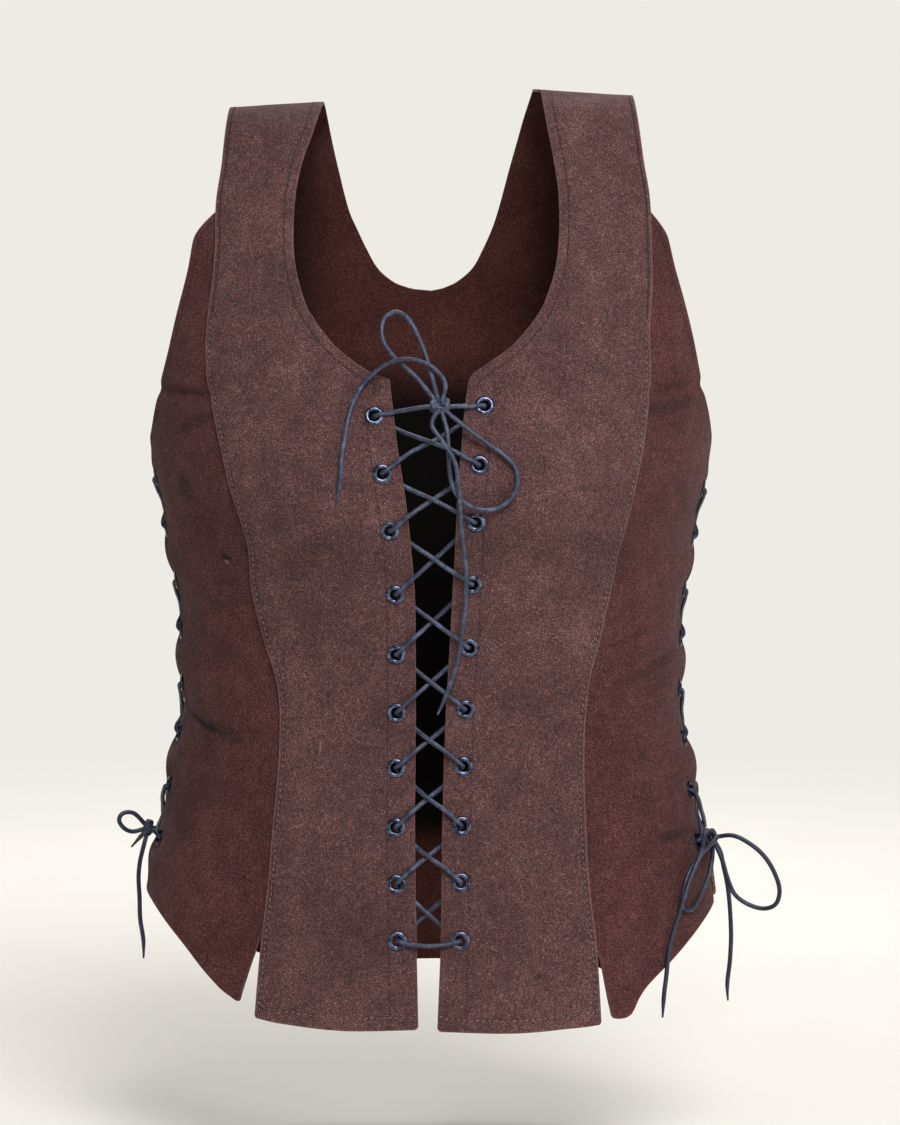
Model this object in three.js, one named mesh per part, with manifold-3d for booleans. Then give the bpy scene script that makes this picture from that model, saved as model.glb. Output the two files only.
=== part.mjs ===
// A sleeveless leather bodice in its worn shape: seven leather panels, laced with round
// leather cord at the centre front and down both sides.
// Millimetres. +Z is up, -Y is the front, and +X is the wearer's left.
// The origin is midway between the two straps, at the height of the shoulder seams.

import * as THREE from 'three';
import { mergeVertices } from 'three/addons/utils/BufferGeometryUtils.js';
import Module from 'manifold-3d';

// ---------------------------------------------------------------- driving sizes

const WALL = 1.8; // leather
const SEAM_GAP = 0.3; // between pieces that touch
const LAP = 8; // how far a centre panel lies over its side panel
const LACE = 2.75; // diameter of the round lace
const HOLE_RADIUS = 3.9; // punched in the leather
const EYELET = { bore: 3, barrel: 3.5, rim: 5.9, height: 0.8, below: 0.4 };
const FRONT_INSET = 11.5; // from a front edge to the middle of its eyelets
const SIDE_INSET = 9; // the same at the side lacings

// The body of the garment: level sections, one row for each height below the shoulder.
// half: half of the width. front, back: depth before and behind the side line.
// lean: where the side line lies, front to back.
const FIGURE = [
  { drop: 0, half: 166, front: 42, back: 40, lean: 12 },
  { drop: 30, half: 168, front: 48, back: 45, lean: 11 },
  { drop: 60, half: 169, front: 63, back: 58, lean: 8 },
  { drop: 100, half: 170, front: 83, back: 74, lean: 5 },
  { drop: 150, half: 170, front: 102, back: 88, lean: 2 },
  { drop: 205, half: 169, front: 116, back: 95, lean: 0 },
  { drop: 245, half: 162, front: 119, back: 94, lean: 0 },
  { drop: 290, half: 153.5, front: 107, back: 88, lean: 0 },
  { drop: 340, half: 150.5, front: 97, back: 79, lean: 0 },
  { drop: 380, half: 152.5, front: 93, back: 74, lean: 0 },
  { drop: 430, half: 163, front: 96, back: 79, lean: 0 },
  { drop: 480, half: 173.5, front: 103, back: 89, lean: 0 },
  { drop: 530, half: 178, front: 109, back: 98, lean: 0 },
  { drop: 575, half: 182, front: 113, back: 104, lean: 0 },
];
const ROUNDNESS = 2.3; // power of the section's curve: 2 is an ellipse
const ARCH = 26; // radius of the round over the shoulder
const NECK_HALF = 66; // from the centre to the neck end of the shoulder seam
const SHOULDER_SLOPE = 0.06; // each shoulder seam falls outwards
const SHOULDER_TILT = 0.038; // and the left strap is set a little higher than the right
const BUST = { across: 80, drop: 235, wide: 46, high: 52, full: 9 };

// Soft hollows (deep > 0) and ridges (deep < 0) in the leather.
// across: distance from the centre, with its sign. long lies along the fold, wide across it.
// tilt: degrees that the fold climbs towards +X.
const FOLDS = [
  { face: 1, across: -146, drop: 177, long: 30, wide: 4, tilt: -6, deep: 1.8 },
  { face: 1, across: 146, drop: 175, long: 30, wide: 4, tilt: 8, deep: 1.8 },
  { face: 1, across: -112, drop: 268, long: 26, wide: 9, tilt: 14, deep: 1.2 },
  { face: 1, across: 116, drop: 272, long: 26, wide: 9, tilt: -16, deep: 1.2 },
  { face: 1, across: -62, drop: 276, long: 34, wide: 8, tilt: -5, deep: 1.0 },
  { face: 1, across: 60, drop: 272, long: 34, wide: 8, tilt: 6, deep: 1.0 },
  { face: 1, across: -138, drop: 374, long: 20, wide: 6, tilt: -32, deep: 1.6 },
  { face: 1, across: 132, drop: 352, long: 18, wide: 7, tilt: 24, deep: 1.2 },
  { face: -1, across: -96, drop: 330, long: 34, wide: 8, tilt: 8, deep: 1.4 },
  { face: -1, across: 90, drop: 345, long: 38, wide: 8, tilt: -6, deep: 1.4 },
  { face: -1, across: 128, drop: 176, long: 26, wide: 6, tilt: -12, deep: 1.4 },
];

// Edges. right and left are the distances from the centre line on the wearer's two sides.
const FRONT_EDGE = [
  { drop: 168, right: 23.5, left: 22.5 },
  { drop: 185, right: 21.5, left: 20 },
  { drop: 209, right: 18.5, left: 18 },
  { drop: 231, right: 15, left: 16 },
  { drop: 255, right: 12, left: 15 },
  { drop: 292, right: 9, left: 13 },
  { drop: 330, right: 8.5, left: 11 },
  { drop: 365, right: 8.5, left: 9 },
  { drop: 430, right: 9, left: 7 },
  { drop: 500, right: 8, left: 6 },
  { drop: 552, right: 7, left: 4 },
];
const FRONT_NECK = [
  { drop: 0, right: 65, left: 66 },
  { drop: 18, right: 70, left: 69 },
  { drop: 39, right: 77, left: 73 },
  { drop: 62, right: 80.5, left: 76 },
  { drop: 98, right: 80, left: 74.5 },
  { drop: 124, right: 73, left: 66.5 },
  { drop: 137, right: 65, left: 58 },
  { drop: 149, right: 55, left: 47 },
  { drop: 157, right: 45, left: 36 },
  { drop: 164, right: 34, left: 25.5 },
  { drop: 168, right: 23.5, left: 22.5 },
];
const BACK_NECK = [
  { drop: 0, right: 65, left: 62 },
  { drop: 18, right: 62, left: 56 },
  { drop: 42, right: 57, left: 49 },
  { drop: 67, right: 51, left: 42 },
  { drop: 79, right: 46, left: 38 },
  { drop: 92, right: 40, left: 32 },
  { drop: 104, right: 31, left: 23 },
  { drop: 112, right: 20, left: 13 },
  { drop: 115.4, right: 11, left: 7 },
  { drop: 117, right: 0, left: 0 },
];
const FRONT_PRINCESS = [
  { drop: 0, right: 122, left: 122.5 },
  { drop: 36, right: 125, left: 127 },
  { drop: 66, right: 127, left: 130 },
  { drop: 90, right: 126.5, left: 130 },
  { drop: 113, right: 128, left: 130 },
  { drop: 140, right: 130.5, left: 128 },
  { drop: 166, right: 130, left: 128 },
  { drop: 188, right: 126, left: 126 },
  { drop: 209, right: 121, left: 123 },
  { drop: 232, right: 115, left: 118 },
  { drop: 257, right: 107, left: 112 },
  { drop: 295, right: 103, left: 104 },
  { drop: 325, right: 96, left: 98 },
  { drop: 345, right: 90, left: 93 },
  { drop: 365, right: 88, left: 91 },
  { drop: 395, right: 89, left: 90 },
  { drop: 430, right: 92, left: 91 },
  { drop: 465, right: 95, left: 93 },
  { drop: 500, right: 99, left: 97 },
  { drop: 546, right: 103, left: 100 },
];
const BACK_PRINCESS = [
  { drop: 0, right: 122, left: 122.5 },
  { drop: 36, right: 126, left: 127 },
  { drop: 66, right: 128, left: 130 },
  { drop: 90, right: 124, left: 125 },
  { drop: 113, right: 119, left: 119 },
  { drop: 140, right: 113, left: 113 },
  { drop: 188, right: 102, left: 102 },
  { drop: 232, right: 93, left: 93 },
  { drop: 295, right: 82, left: 82 },
  { drop: 345, right: 75, left: 75 },
  { drop: 380, right: 74, left: 74 },
  { drop: 430, right: 79, left: 79 },
  { drop: 500, right: 91, left: 91 },
  { drop: 546, right: 98, left: 98 },
];
// How far the armholes and the side lacings' edges stand before or behind the plane Y = 0.
const ARMHOLE_TOP = 62;
const ARMHOLE_END = 206;
const FRONT_ARMHOLE = [
  { drop: 62, right: 37, left: 36 },
  { drop: 81, right: 41, left: 41 },
  { drop: 104, right: 47, left: 46 },
  { drop: 128, right: 49, left: 47 },
  { drop: 152, right: 48, left: 45 },
  { drop: 176, right: 42, left: 40 },
  { drop: 192, right: 34, left: 30 },
  { drop: 201, right: 25, left: 21 },
  { drop: 206, right: 12, left: 12 },
];
const BACK_ARMHOLE = [
  { drop: 62, right: 50, left: 49 },
  { drop: 81, right: 49, left: 49 },
  { drop: 104, right: 49, left: 49 },
  { drop: 128, right: 49, left: 49 },
  { drop: 152, right: 47, left: 47 },
  { drop: 176, right: 41, left: 41 },
  { drop: 192, right: 32, left: 32 },
  { drop: 201, right: 23, left: 23 },
  { drop: 206, right: 12, left: 12 },
];
const FRONT_SIDE_EDGE = [
  { drop: 206, right: 12, left: 12 },
  { drop: 290, right: 10, left: 10 },
  { drop: 340, right: 10, left: 10 },
  { drop: 390, right: 11, left: 12 },
  { drop: 420, right: 14, left: 21 },
  { drop: 450, right: 19, left: 27 },
  { drop: 490, right: 20, left: 30 },
];
const BACK_SIDE_EDGE = [
  { drop: 206, right: 12, left: 12 },
  { drop: 290, right: 11, left: 11 },
  { drop: 340, right: 11, left: 10 },
  { drop: 390, right: 13, left: 8 },
  { drop: 420, right: 16, left: 7 },
  { drop: 450, right: 19, left: 8 },
  { drop: 490, right: 20, left: 10 },
];
const SCALLOP = 1.6; // the side edges bulge between the lace's outer crossings

// Hems: how far each lies below the level HEM, from a panel's inner edge (0) to its outer (1).
const HEM = 545;
const LEVEL_BAND = 80; // rows above the hem flatten out over this height
const CENTRE_HEM = [
  { along: 0, right: 5, left: 6 },
  { along: 0.4, right: 6, left: 7.5 },
  { along: 0.8, right: 3, left: 5.5 },
  { along: 1, right: 0, left: 4 },
];
const SIDE_HEM = [
  { along: 0, right: -8, left: 1 },
  { along: 0.11, right: -14, left: -9 },
  { along: 0.26, right: -25, left: -20 },
  { along: 0.48, right: -42, left: -33 },
  { along: 0.76, right: -58, left: -48 },
  { along: 1, right: -66, left: -59 },
];
const BACK_HEM = [
  { along: 0, right: -3, left: -3 },
  { along: 0.5, right: -2, left: -2 },
  { along: 1, right: -5, left: -5 },
];
// The slits between the tabs: how far a side panel's edge stands off its lapped line.
const SLIT = [
  { drop: 484, right: 0, left: 0 },
  { drop: 500, right: 6, left: 3 },
  { drop: 515, right: 12, left: 9 },
  { drop: 530, right: 17, left: 12 },
  { drop: 546, right: 20, left: 15 },
];

// Eyelet rows: drops below the shoulder.
const FRONT_ROWS = [
  { right: 189, left: 183 },
  { right: 222, left: 217 },
  { right: 255, left: 250 },
  { right: 293, left: 287 },
  { right: 329, left: 325 },
  { right: 364, left: 362 },
  { right: 397, left: 396 },
  { right: 432, left: 431 },
  { right: 465, left: 464 },
  { right: 498, left: 498 },
];
const SIDE_ROWS = 8;
const SIDE_FIRST = { right: 228, left: 235 };
const SIDE_PITCH = { right: 31.3, left: 30.5 };

// How a lace passes an eyelet and crosses a gap. along: from the eyelet's middle, millimetres,
// or as a share of the whole crossing. out: from the inside face of the leather.
const LEAVE_OUTSIDE = [
  { along: 0.5, out: 3 },
  { along: 2.6, out: 5 },
];
const LEAVE_INSIDE = [
  { along: 0.5, out: -1 },
  { along: 2.6, out: -2.3 },
];
const DIVE = [
  { share: 0.28, out: 4.4, apart: 0.2 },
  { share: 0.49, out: 0.8, apart: 1.65 },
  { share: 0.69, out: -2.3, apart: 0.1 },
];
const ACROSS_OUTSIDE = [{ share: 0.5, out: 2.9, apart: 1.55 }];
const ACROSS_INSIDE = [{ share: 0.5, out: -3.9, apart: 1.6 }];

// The three bows. A knot is given by its middle and half sizes, and a cord by its route,
// chosen by hand, which starts at its knot. A loop ends there too. A row holds drop and out
// after the distance across, or at a side after Y.
const FRONT_KNOT = { across: 6, drop: 185, out: 7.5, half: [6, 3.8, 4.6] };
const FRONT_CORDS = {
  front_loop_right: [
    [-8, 169, 9.5], [-19, 159, 9], [-26, 150, 8.5], [-28, 142, 8.5],
    [-26, 135, 9], [-20, 132, 10], [-13, 136, 11], [-8, 144, 11.5], [-4, 153, 12],
    [-1, 162, 12], [2, 172, 11.5],
  ],
  front_loop_left: [
    [17, 194, 8.5], [25, 200, 7.5], [34, 206, 6], [43, 212, 4.6],
    [49.5, 219, 4.2], [50.5, 228, 4.2], [47, 236, 4.4], [40, 241, 5], [32, 242, 6.2],
    [24, 240, 8], [17, 235, 9], [13, 228, 9.4], [11.5, 219, 9.6], [11, 209, 9.8],
    [10, 199, 9.8],
  ],
  front_tail_right: [
    [9, 174, 13], [3, 166, 15.4], [-7, 161, 14.4], [-17, 160, 12.6],
    [-27, 163, 10], [-37, 170, 6.4], [-43, 179, 4.4], [-47, 189, 4], [-49, 200, 4],
    [-51, 212, 4], [-52, 225, 4], [-54, 239, 4],
  ],
  front_tail_left: [
    [1, 196, 13], [8, 206, 13.6], [15, 217, 13.2], [17, 229, 13],
    [18, 241, 11.6], [18.5, 252, 9.6], [20, 265, 8.8], [21, 278, 8.6], [20.5, 292, 8.6],
    [19.5, 306, 8.6], [17.5, 320, 8.8], [15, 334, 9], [11, 346, 9], [7.5, 356, 8.8],
    [4, 364, 8.6],
  ],
};
const SIDE_KNOTS = {
  right: { y: -2, drop: 446, out: 6.6, half: [4.2, 5.6, 4.8] },
  left: { y: -22, drop: 449, out: 6.4, half: [4.2, 5.6, 4.8] },
};
const SIDE_CORDS = {
  side_loop_right: [
    [-6, 438.5, 18], [-8, 440, 24], [-9, 444, 25.5], [-8, 448.5, 21.5],
    [-6, 450, 16],
  ],
  side_stub_right: [[5, 456, 12], [7, 461, 15]],
  side_tail_right: [
    [-5.5, 458, 7], [-7, 466, 7.2], [-8, 475, 6.4], [-9, 487, 4],
    [-10, 500, 2.4], [-10, 512, -0.4], [-9, 524, -1.4],
  ],
  side_loop_left: [
    [-23, 450, 19], [-24, 456, 28], [-25, 464, 35.5], [-26, 474, 40.5],
    [-26, 484, 42], [-26, 491, 38.5], [-25, 493, 30.5], [-25, 490, 21.4],
    [-25, 484, 14], [-25, 474, 11], [-25, 463, 10],
  ],
  side_loop_small_left: [
    [-36, 461, 8], [-42, 471, 6], [-50, 480, 4.6], [-58, 487, 4.4],
    [-63, 485, 4.4], [-61, 477, 4.4], [-56, 466, 5.6], [-46, 456, 8.6], [-34, 449, 13],
  ],
  side_tail_front_left: [
    [-34, 443, 8.4], [-42, 446, 10.8], [-50, 455, 12.4], [-58, 468, 9.6], [-64, 481, 7.8],
    [-69, 496, 4.8], [-73, 510, 4], [-75.5, 523, 4], [-78, 535, 4], [-80, 548, 4],
  ],
  side_tail_back_left: [
    [-14, 460, 8], [-11, 467, 7.6], [-8, 480, 8], [-7, 495, 7.8],
    [-6, 512, 7.2], [-6, 528, 5.2], [-6, 541, 2.6], [-6, 551, 2.2],
  ],
};

const LEATHER_FRONT = new THREE.MeshStandardMaterial({ color: 0x6c4844, roughness: 0.85 });
const LEATHER_SIDE = new THREE.MeshStandardMaterial({ color: 0x55302c, roughness: 0.85 });
const LEATHER_BACK = new THREE.MeshStandardMaterial({ color: 0x4a2a26, roughness: 0.85 });
const CORD = new THREE.MeshStandardMaterial({ color: 0x1b1e2b, roughness: 0.5 });
const METAL = new THREE.MeshStandardMaterial({ color: 0x2d3344, roughness: 0.35, metalness: 0.9 });

// ---------------------------------------------------------------- reading the tables

const { clamp, degToRad, lerp, smoothstep } = THREE.MathUtils;
const bell = (x) => Math.exp(-x * x);
const sideName = (side) => (side < 0 ? 'right' : 'left');

// The value in one column of a table, on a smooth curve through its rows.
function read(table, key, at, column) {
  const last = table.length - 1;
  if (at <= table[0][key]) return table[0][column];
  if (at >= table[last][key]) return table[last][column];
  let i = 0;
  while (table[i + 1][key] < at) i += 1;
  const slope = (j) => {
    const before = table[Math.max(j - 1, 0)];
    const after = table[Math.min(j + 1, last)];
    return (after[column] - before[column]) / (after[key] - before[key]);
  };
  const step = table[i + 1][key] - table[i][key];
  const t = (at - table[i][key]) / step;
  return (
    ((2 * t - 3) * t * t + 1) * table[i][column] +
    ((t - 2) * t + 1) * t * step * slope(i) +
    (3 - 2 * t) * t * t * table[i + 1][column] +
    (t - 1) * t * t * step * slope(i + 1)
  );
}

// ---------------------------------------------------------------- the form

// A place on the form has a turn, the angle round the body from the front centre towards +X,
// and a run, the length down the leather from the shoulder seam. Over the shoulder the run
// follows a round of radius ARCH, and below it goes straight down.
const ARCH_RUN = (ARCH * Math.PI) / 2;

function dropOf(run) {
  return run < ARCH_RUN ? ARCH * (1 - Math.cos(run / ARCH)) : ARCH + run - ARCH_RUN;
}

function runOf(drop) {
  return drop < ARCH ? ARCH * Math.acos(1 - drop / ARCH) : drop - ARCH + ARCH_RUN;
}

function sectionAt(run) {
  const drop = dropOf(run);
  const round = run < ARCH_RUN ? Math.sin(run / ARCH) : 1;
  return {
    drop,
    half: read(FIGURE, 'drop', drop, 'half'),
    front: round * read(FIGURE, 'drop', drop, 'front'),
    back: round * read(FIGURE, 'drop', drop, 'back'),
    lean: read(FIGURE, 'drop', drop, 'lean'),
  };
}

function onForm(turn, run) {
  const s = sectionAt(run);
  const sine = Math.sin(turn);
  const cosine = Math.cos(turn);
  const x = s.half * Math.sign(sine) * Math.abs(sine) ** (2 / ROUNDNESS);
  const depth = (cosine > 0 ? s.front : s.back) * Math.abs(cosine) ** (2 / ROUNDNESS);
  let y = s.lean - Math.sign(cosine) * depth;
  if (cosine > 0) {
    const across = bell((Math.abs(x) - BUST.across) / BUST.wide);
    y -= BUST.full * across * bell((s.drop - BUST.drop) / BUST.high) * cosine;
  }
  const slope = SHOULDER_SLOPE * (Math.abs(x) - NECK_HALF) - SHOULDER_TILT * x;
  return new THREE.Vector3(x, y, -s.drop - slope * Math.max(0, 1 - s.drop / 100));
}

function outward(turn, run) {
  const small = 0.01;
  const high = onForm(turn, Math.max(run - 1, 0));
  const low = onForm(turn, Math.max(run, 0.05) + 1);
  const round = onForm(turn + small, run).sub(onForm(turn - small, run));
  return round.cross(high.sub(low)).normalize();
}

// How far the soft folds sink the leather at a point.
function foldDepth(point, turn) {
  const face = Math.sign(Math.cos(turn));
  let depth = 0;
  for (const fold of FOLDS.filter((f) => f.face === face)) {
    const tilt = degToRad(fold.tilt);
    const dx = point.x - fold.across;
    const dz = point.z + fold.drop;
    const along = dx * Math.cos(tilt) + dz * Math.sin(tilt);
    const over = dz * Math.cos(tilt) - dx * Math.sin(tilt);
    depth += fold.deep * bell(along / fold.long) * bell(over / fold.wide);
  }
  return depth;
}

// A point at a distance out from the leather's inside face.
function place({ turn, run, out }) {
  const point = onForm(turn, run);
  const lift = out - foldDepth(point, turn);
  return point.addScaledVector(outward(turn, run), lift);
}

// The turn at which the form at a run is a given distance across, on the front or the back.
function turnAcross(across, run, face = 1) {
  const share = clamp(Math.abs(across) / sectionAt(run).half, 0, 1);
  const turn = Math.asin(share ** (ROUNDNESS / 2));
  return Math.sign(across || 1) * (face > 0 ? turn : Math.PI - turn);
}

// The turn at which the form at a run has a given Y.
function turnAtDepth(y, run, side) {
  const s = sectionAt(run);
  const depth = s.lean - y;
  const share = clamp(Math.abs(depth) / (depth > 0 ? s.front : s.back), 0, 1);
  const turn = Math.acos(share ** (ROUNDNESS / 2));
  return side * (depth > 0 ? turn : Math.PI - turn);
}

// ---------------------------------------------------------------- the panels' edges

// Each edge gives the turn of one panel edge at a run. side is -1 for the wearer's right.
// face is 1 for the front and -1 for the back.

function frontEdge(side, run) {
  const drop = dropOf(run);
  const table = drop < FRONT_EDGE[0].drop ? FRONT_NECK : FRONT_EDGE;
  return turnAcross(side * read(table, 'drop', drop, sideName(side)), run);
}

function backEdge(side, run) {
  const across = read(BACK_NECK, 'drop', dropOf(run), sideName(side));
  return side * turnAcross(across, run, -1);
}

// The princess line, moved towards the centre by inset.
function princess(side, face, run, inset = 0) {
  const table = face > 0 ? FRONT_PRINCESS : BACK_PRINCESS;
  const across = read(table, 'drop', dropOf(run), sideName(side)) - inset;
  return turnAcross(side * across, run, face);
}

// 1 where the leather bulges between two crossings on the outside, -1 under a crossing.
function ripple(side, drop) {
  const name = sideName(side);
  const rows = (drop - SIDE_FIRST[name]) / SIDE_PITCH[name];
  const fade = smoothstep(rows, -0.6, 0.2) * (1 - smoothstep(rows, SIDE_ROWS - 1, SIDE_ROWS));
  return -Math.cos(Math.PI * (rows - 0.5)) * fade;
}

function sideEdge(side, face, run, inset = 0) {
  const drop = dropOf(run);
  const tables = face > 0 ? [FRONT_ARMHOLE, FRONT_SIDE_EDGE] : [BACK_ARMHOLE, BACK_SIDE_EDGE];
  const table = tables[drop < ARMHOLE_END ? 0 : 1];
  const scallop = drop < ARMHOLE_END ? 0 : SCALLOP * ripple(side, drop);
  const depth = read(table, 'drop', drop, sideName(side)) - scallop + inset;
  return turnAtDepth(-face * depth, run, side);
}

// ---------------------------------------------------------------- leather panels

const wasm = await Module();
wasm.setup();

function toSolid(geometry) {
  const bare = geometry.clone();
  bare.deleteAttribute('normal');
  bare.deleteAttribute('uv');
  const merged = mergeVertices(bare);
  return new wasm.Manifold(
    new wasm.Mesh({
      numProp: 3,
      vertProperties: merged.attributes.position.array,
      triVerts: new Uint32Array(merged.index.array),
    }),
  );
}

function toGeometry(solid) {
  const { numProp, vertProperties, triVerts } = solid.getMesh();
  const points = new THREE.BufferAttribute(new Float32Array(vertProperties), numProp);
  const geometry = new THREE.BufferGeometry().setAttribute('position', points);
  geometry.setIndex(new THREE.BufferAttribute(triVerts, 1));
  geometry.computeVertexNormals();
  return geometry;
}

// The runs of a panel's cross rows: one at each named drop, and more where they lie far apart.
const ROW_STEP = 22;
function rowsThrough(drops) {
  const stops = [...new Set(drops)].sort((a, b) => b - a).map(runOf);
  const rows = [stops[0]];
  for (const stop of stops.slice(1)) {
    const from = rows[rows.length - 1];
    const count = Math.max(1, Math.ceil((from - stop) / ROW_STEP));
    for (let i = 1; i <= count; i += 1) rows.push(lerp(from, stop, i / count));
  }
  return rows;
}

// A curved wall of leather. columns turns a run into the turns of its columns, from the
// panel's inner edge to its outer. lift says how far a column stands off the form.
function leatherWall({ side, face, rows, columns, hem, lift }) {
  const across = columns(rows[0]).length - 1;
  const box = new THREE.BoxGeometry(1, 1, 1, across, rows.length - 1, 1);
  box.deleteAttribute('normal');
  box.deleteAttribute('uv');
  const wall = mergeVertices(box);
  const corners = wall.attributes.position;
  for (let i = 0; i < corners.count; i += 1) {
    const column = Math.round((corners.getX(i) + 0.5) * across);
    const row = Math.round((corners.getY(i) + 0.5) * (rows.length - 1));
    const base = Math.max(rows[row], SEAM_GAP / 2);
    const level = dropOf(base);
    const turns = columns(base);
    const along = (turns[column] - turns[0]) / (turns[across] - turns[0]);
    const fall = read(hem, 'along', along, sideName(side));
    const run = base + fall * smoothstep(level, HEM - LEVEL_BAND, HEM);
    const out = (corners.getZ(i) + 0.5) * WALL + lift(column, across, level);
    corners.setXYZ(i, ...place({ turn: columns(run)[column], run, out }));
  }
  if (side * face < 0) {
    const order = wall.index.array;
    for (let i = 0; i < order.length; i += 3) {
      [order[i + 1], order[i + 2]] = [order[i + 2], order[i + 1]];
    }
  }
  return toSolid(wall);
}

function spread(from, to, count) {
  return Array.from({ length: count }, (_, i) => lerp(from, to, i / (count - 1)));
}

const LAP_LIFT = WALL + SEAM_GAP;
const lapLift = (column, across, drop) =>
  column < across - 1 ? 0 : LAP_LIFT * smoothstep(drop, 34, ARMHOLE_TOP);

function frontCentre(side) {
  const columns = (run) => [
    ...spread(frontEdge(side, run), princess(side, 1, run, LAP), 6),
    princess(side, 1, run),
  ];
  const rows = rowsThrough([...FRONT_NECK.map((r) => r.drop), ...DART_ROWS, ARMHOLE_END, HEM]);
  return leatherWall({ side, face: 1, rows, columns, hem: CENTRE_HEM, lift: lapLift });
}

function backCentreHalf(side) {
  const columns = (run) => [
    ...spread(backEdge(side, run), princess(side, -1, run, LAP), 6),
    princess(side, -1, run),
  ];
  const rows = rowsThrough([...BACK_NECK.map((r) => r.drop), ARMHOLE_TOP, ARMHOLE_END, HEM]);
  return leatherWall({ side, face: -1, rows, columns, hem: BACK_HEM, lift: lapLift });
}

// A side panel starts under the lap, and below the slit it stands clear of it.
const DART_ROWS = [168, 173, 177, 181, 187];
const RIPPLE_HEIGHT = 2.2;
function sidePanel(side, face) {
  const columns = (run) => {
    const slit = read(SLIT, 'drop', dropOf(run), sideName(side));
    const seam = princess(side, face, run, -slit);
    return [princess(side, face, run, LAP - slit), ...spread(seam, sideEdge(side, face, run), 5)];
  };
  const lift = (column, across, drop) => {
    const nearEdge = smoothstep(column, across - 2.5, across);
    return drop < ARMHOLE_END ? 0 : nearEdge * RIPPLE_HEIGHT * ripple(side, drop);
  };
  const rows = rowsThrough([ARMHOLE_TOP, ...DART_ROWS, ARMHOLE_END, HEM]);
  return leatherWall({ side, face, rows, columns, hem: SIDE_HEM, lift });
}

// ---------------------------------------------------------------- eyelets

const frontRowRun = (side, row) => runOf(FRONT_ROWS[row][sideName(side)]);
function frontEyelet(side, row) {
  const run = frontRowRun(side, row);
  const edge = read(FRONT_EDGE, 'drop', dropOf(run), sideName(side));
  return { turn: turnAcross(side * (edge + FRONT_INSET), run), run };
}

function sideEyelet(side, face, row) {
  const name = sideName(side);
  const drop = SIDE_FIRST[name] + row * SIDE_PITCH[name];
  const run = runOf(drop);
  const lift = 0.5 * RIPPLE_HEIGHT * ripple(side, drop);
  return { turn: sideEdge(side, face, run, SIDE_INSET), run, lift };
}

// Turns a shape whose axis is Y so that the axis points out of the leather.
function setInto(shape, { turn, run, lift = 0 }) {
  const up = new THREE.Vector3(0, 1, 0);
  shape.applyQuaternion(new THREE.Quaternion().setFromUnitVectors(up, outward(turn, run)));
  return shape.translate(...place({ turn, run, out: lift }));
}

const EYELET_SIDES = 8;
function punch(solid, holes) {
  return holes.reduce((leather, hole) => {
    const cutter = new THREE.CylinderGeometry(HOLE_RADIUS, HOLE_RADIUS, 10, EYELET_SIDES);
    return leather.subtract(toSolid(setInto(cutter, hole)));
  }, solid);
}

function eyeletShape() {
  const seat = WALL + SEAM_GAP;
  const profile = [
    [EYELET.bore, -EYELET.below],
    [EYELET.barrel, -EYELET.below],
    [EYELET.barrel, seat],
    [EYELET.rim, seat],
    [EYELET.bore, seat + EYELET.height],
    [EYELET.bore, -EYELET.below],
  ];
  const points = profile.map(([radius, height]) => new THREE.Vector2(radius, height));
  return new THREE.LatheGeometry(points, EYELET_SIDES);
}

// ---------------------------------------------------------------- laces

// A curve whose sections stand at its own points.
class Route extends THREE.CatmullRomCurve3 {
  getUtoTmapping(u) {
    return u;
  }
}

function laceAlong(points, sides) {
  const section = new THREE.Shape();
  spread(0, 2 * Math.PI, sides + 1).slice(0, sides).forEach((angle, i) => {
    const at = [(LACE / 2) * Math.cos(angle), (LACE / 2) * Math.sin(angle)];
    if (i) section.lineTo(...at);
    else section.moveTo(...at);
  });
  const extrudePath = new Route(points);
  return new THREE.ExtrudeGeometry(section, { steps: points.length - 1, extrudePath });
}

// The lace from one eyelet to the next: out of the first, across the gap, into the second.
function crossing(from, to, leave, across, arrive, over) {
  const start = place({ ...from, out: 0 });
  const length = start.distanceTo(place({ ...to, out: 0 }));
  const at = (share, out) => ({
    turn: lerp(from.turn, to.turn, share),
    run: lerp(from.run, to.run, share),
    out: out + lerp(from.lift || 0, to.lift || 0, share),
  });
  return [
    at(0, WALL / 2),
    ...leave.map((row) => at(row.along / length, row.out)),
    ...across.map((row) => at(row.share, row.out + over * row.apart)),
    ...arrive.map((row) => at(1 - row.along / length, row.out)).reverse(),
  ];
}

// One strand of the front lacing from the lowest row up, starting on one side.
function frontStrand(side) {
  const last = FRONT_ROWS.length - 1;
  const lowest = [frontEyelet(side, last), frontEyelet(-side, last - 1)];
  const path = crossing(...lowest, LEAVE_INSIDE, ACROSS_INSIDE, LEAVE_INSIDE, side);
  let at = -side;
  for (let row = last - 1; row > 0; row -= 1) {
    const over = at > 0 ? 1 : -1;
    const eyelets = [frontEyelet(at, row), frontEyelet(-at, row - 1)];
    path.push(...crossing(...eyelets, LEAVE_OUTSIDE, DIVE, LEAVE_INSIDE, over));
    at = -at;
  }
  const top = frontEyelet(at, 0);
  const knot = knotEnd(at);
  const end = crossing(top, knot, LEAVE_OUTSIDE, [{ share: 0.6, out: 5.2, apart: 0 }], [], 0);
  return [...path, ...end, { ...knot, out: FRONT_KNOT.out }];
}

function knotEnd(side) {
  const run = runOf(FRONT_KNOT.drop);
  const across = FRONT_KNOT.across + side * (FRONT_KNOT.half[0] + SEAM_GAP);
  return { turn: turnAcross(across, run), run };
}

function frontLacing() {
  const last = FRONT_ROWS.length - 1;
  const ends = [frontEyelet(-1, last), frontEyelet(1, last)];
  const sag = [{ share: 0.5, out: 4.6, apart: 0 }];
  const bar = crossing(...ends, LEAVE_OUTSIDE, sag, LEAVE_OUTSIDE, 0).slice(1);
  const route = [...frontStrand(-1).reverse(), ...bar, ...frontStrand(1)];
  return laceAlong(route.map(place), 6);
}

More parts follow.
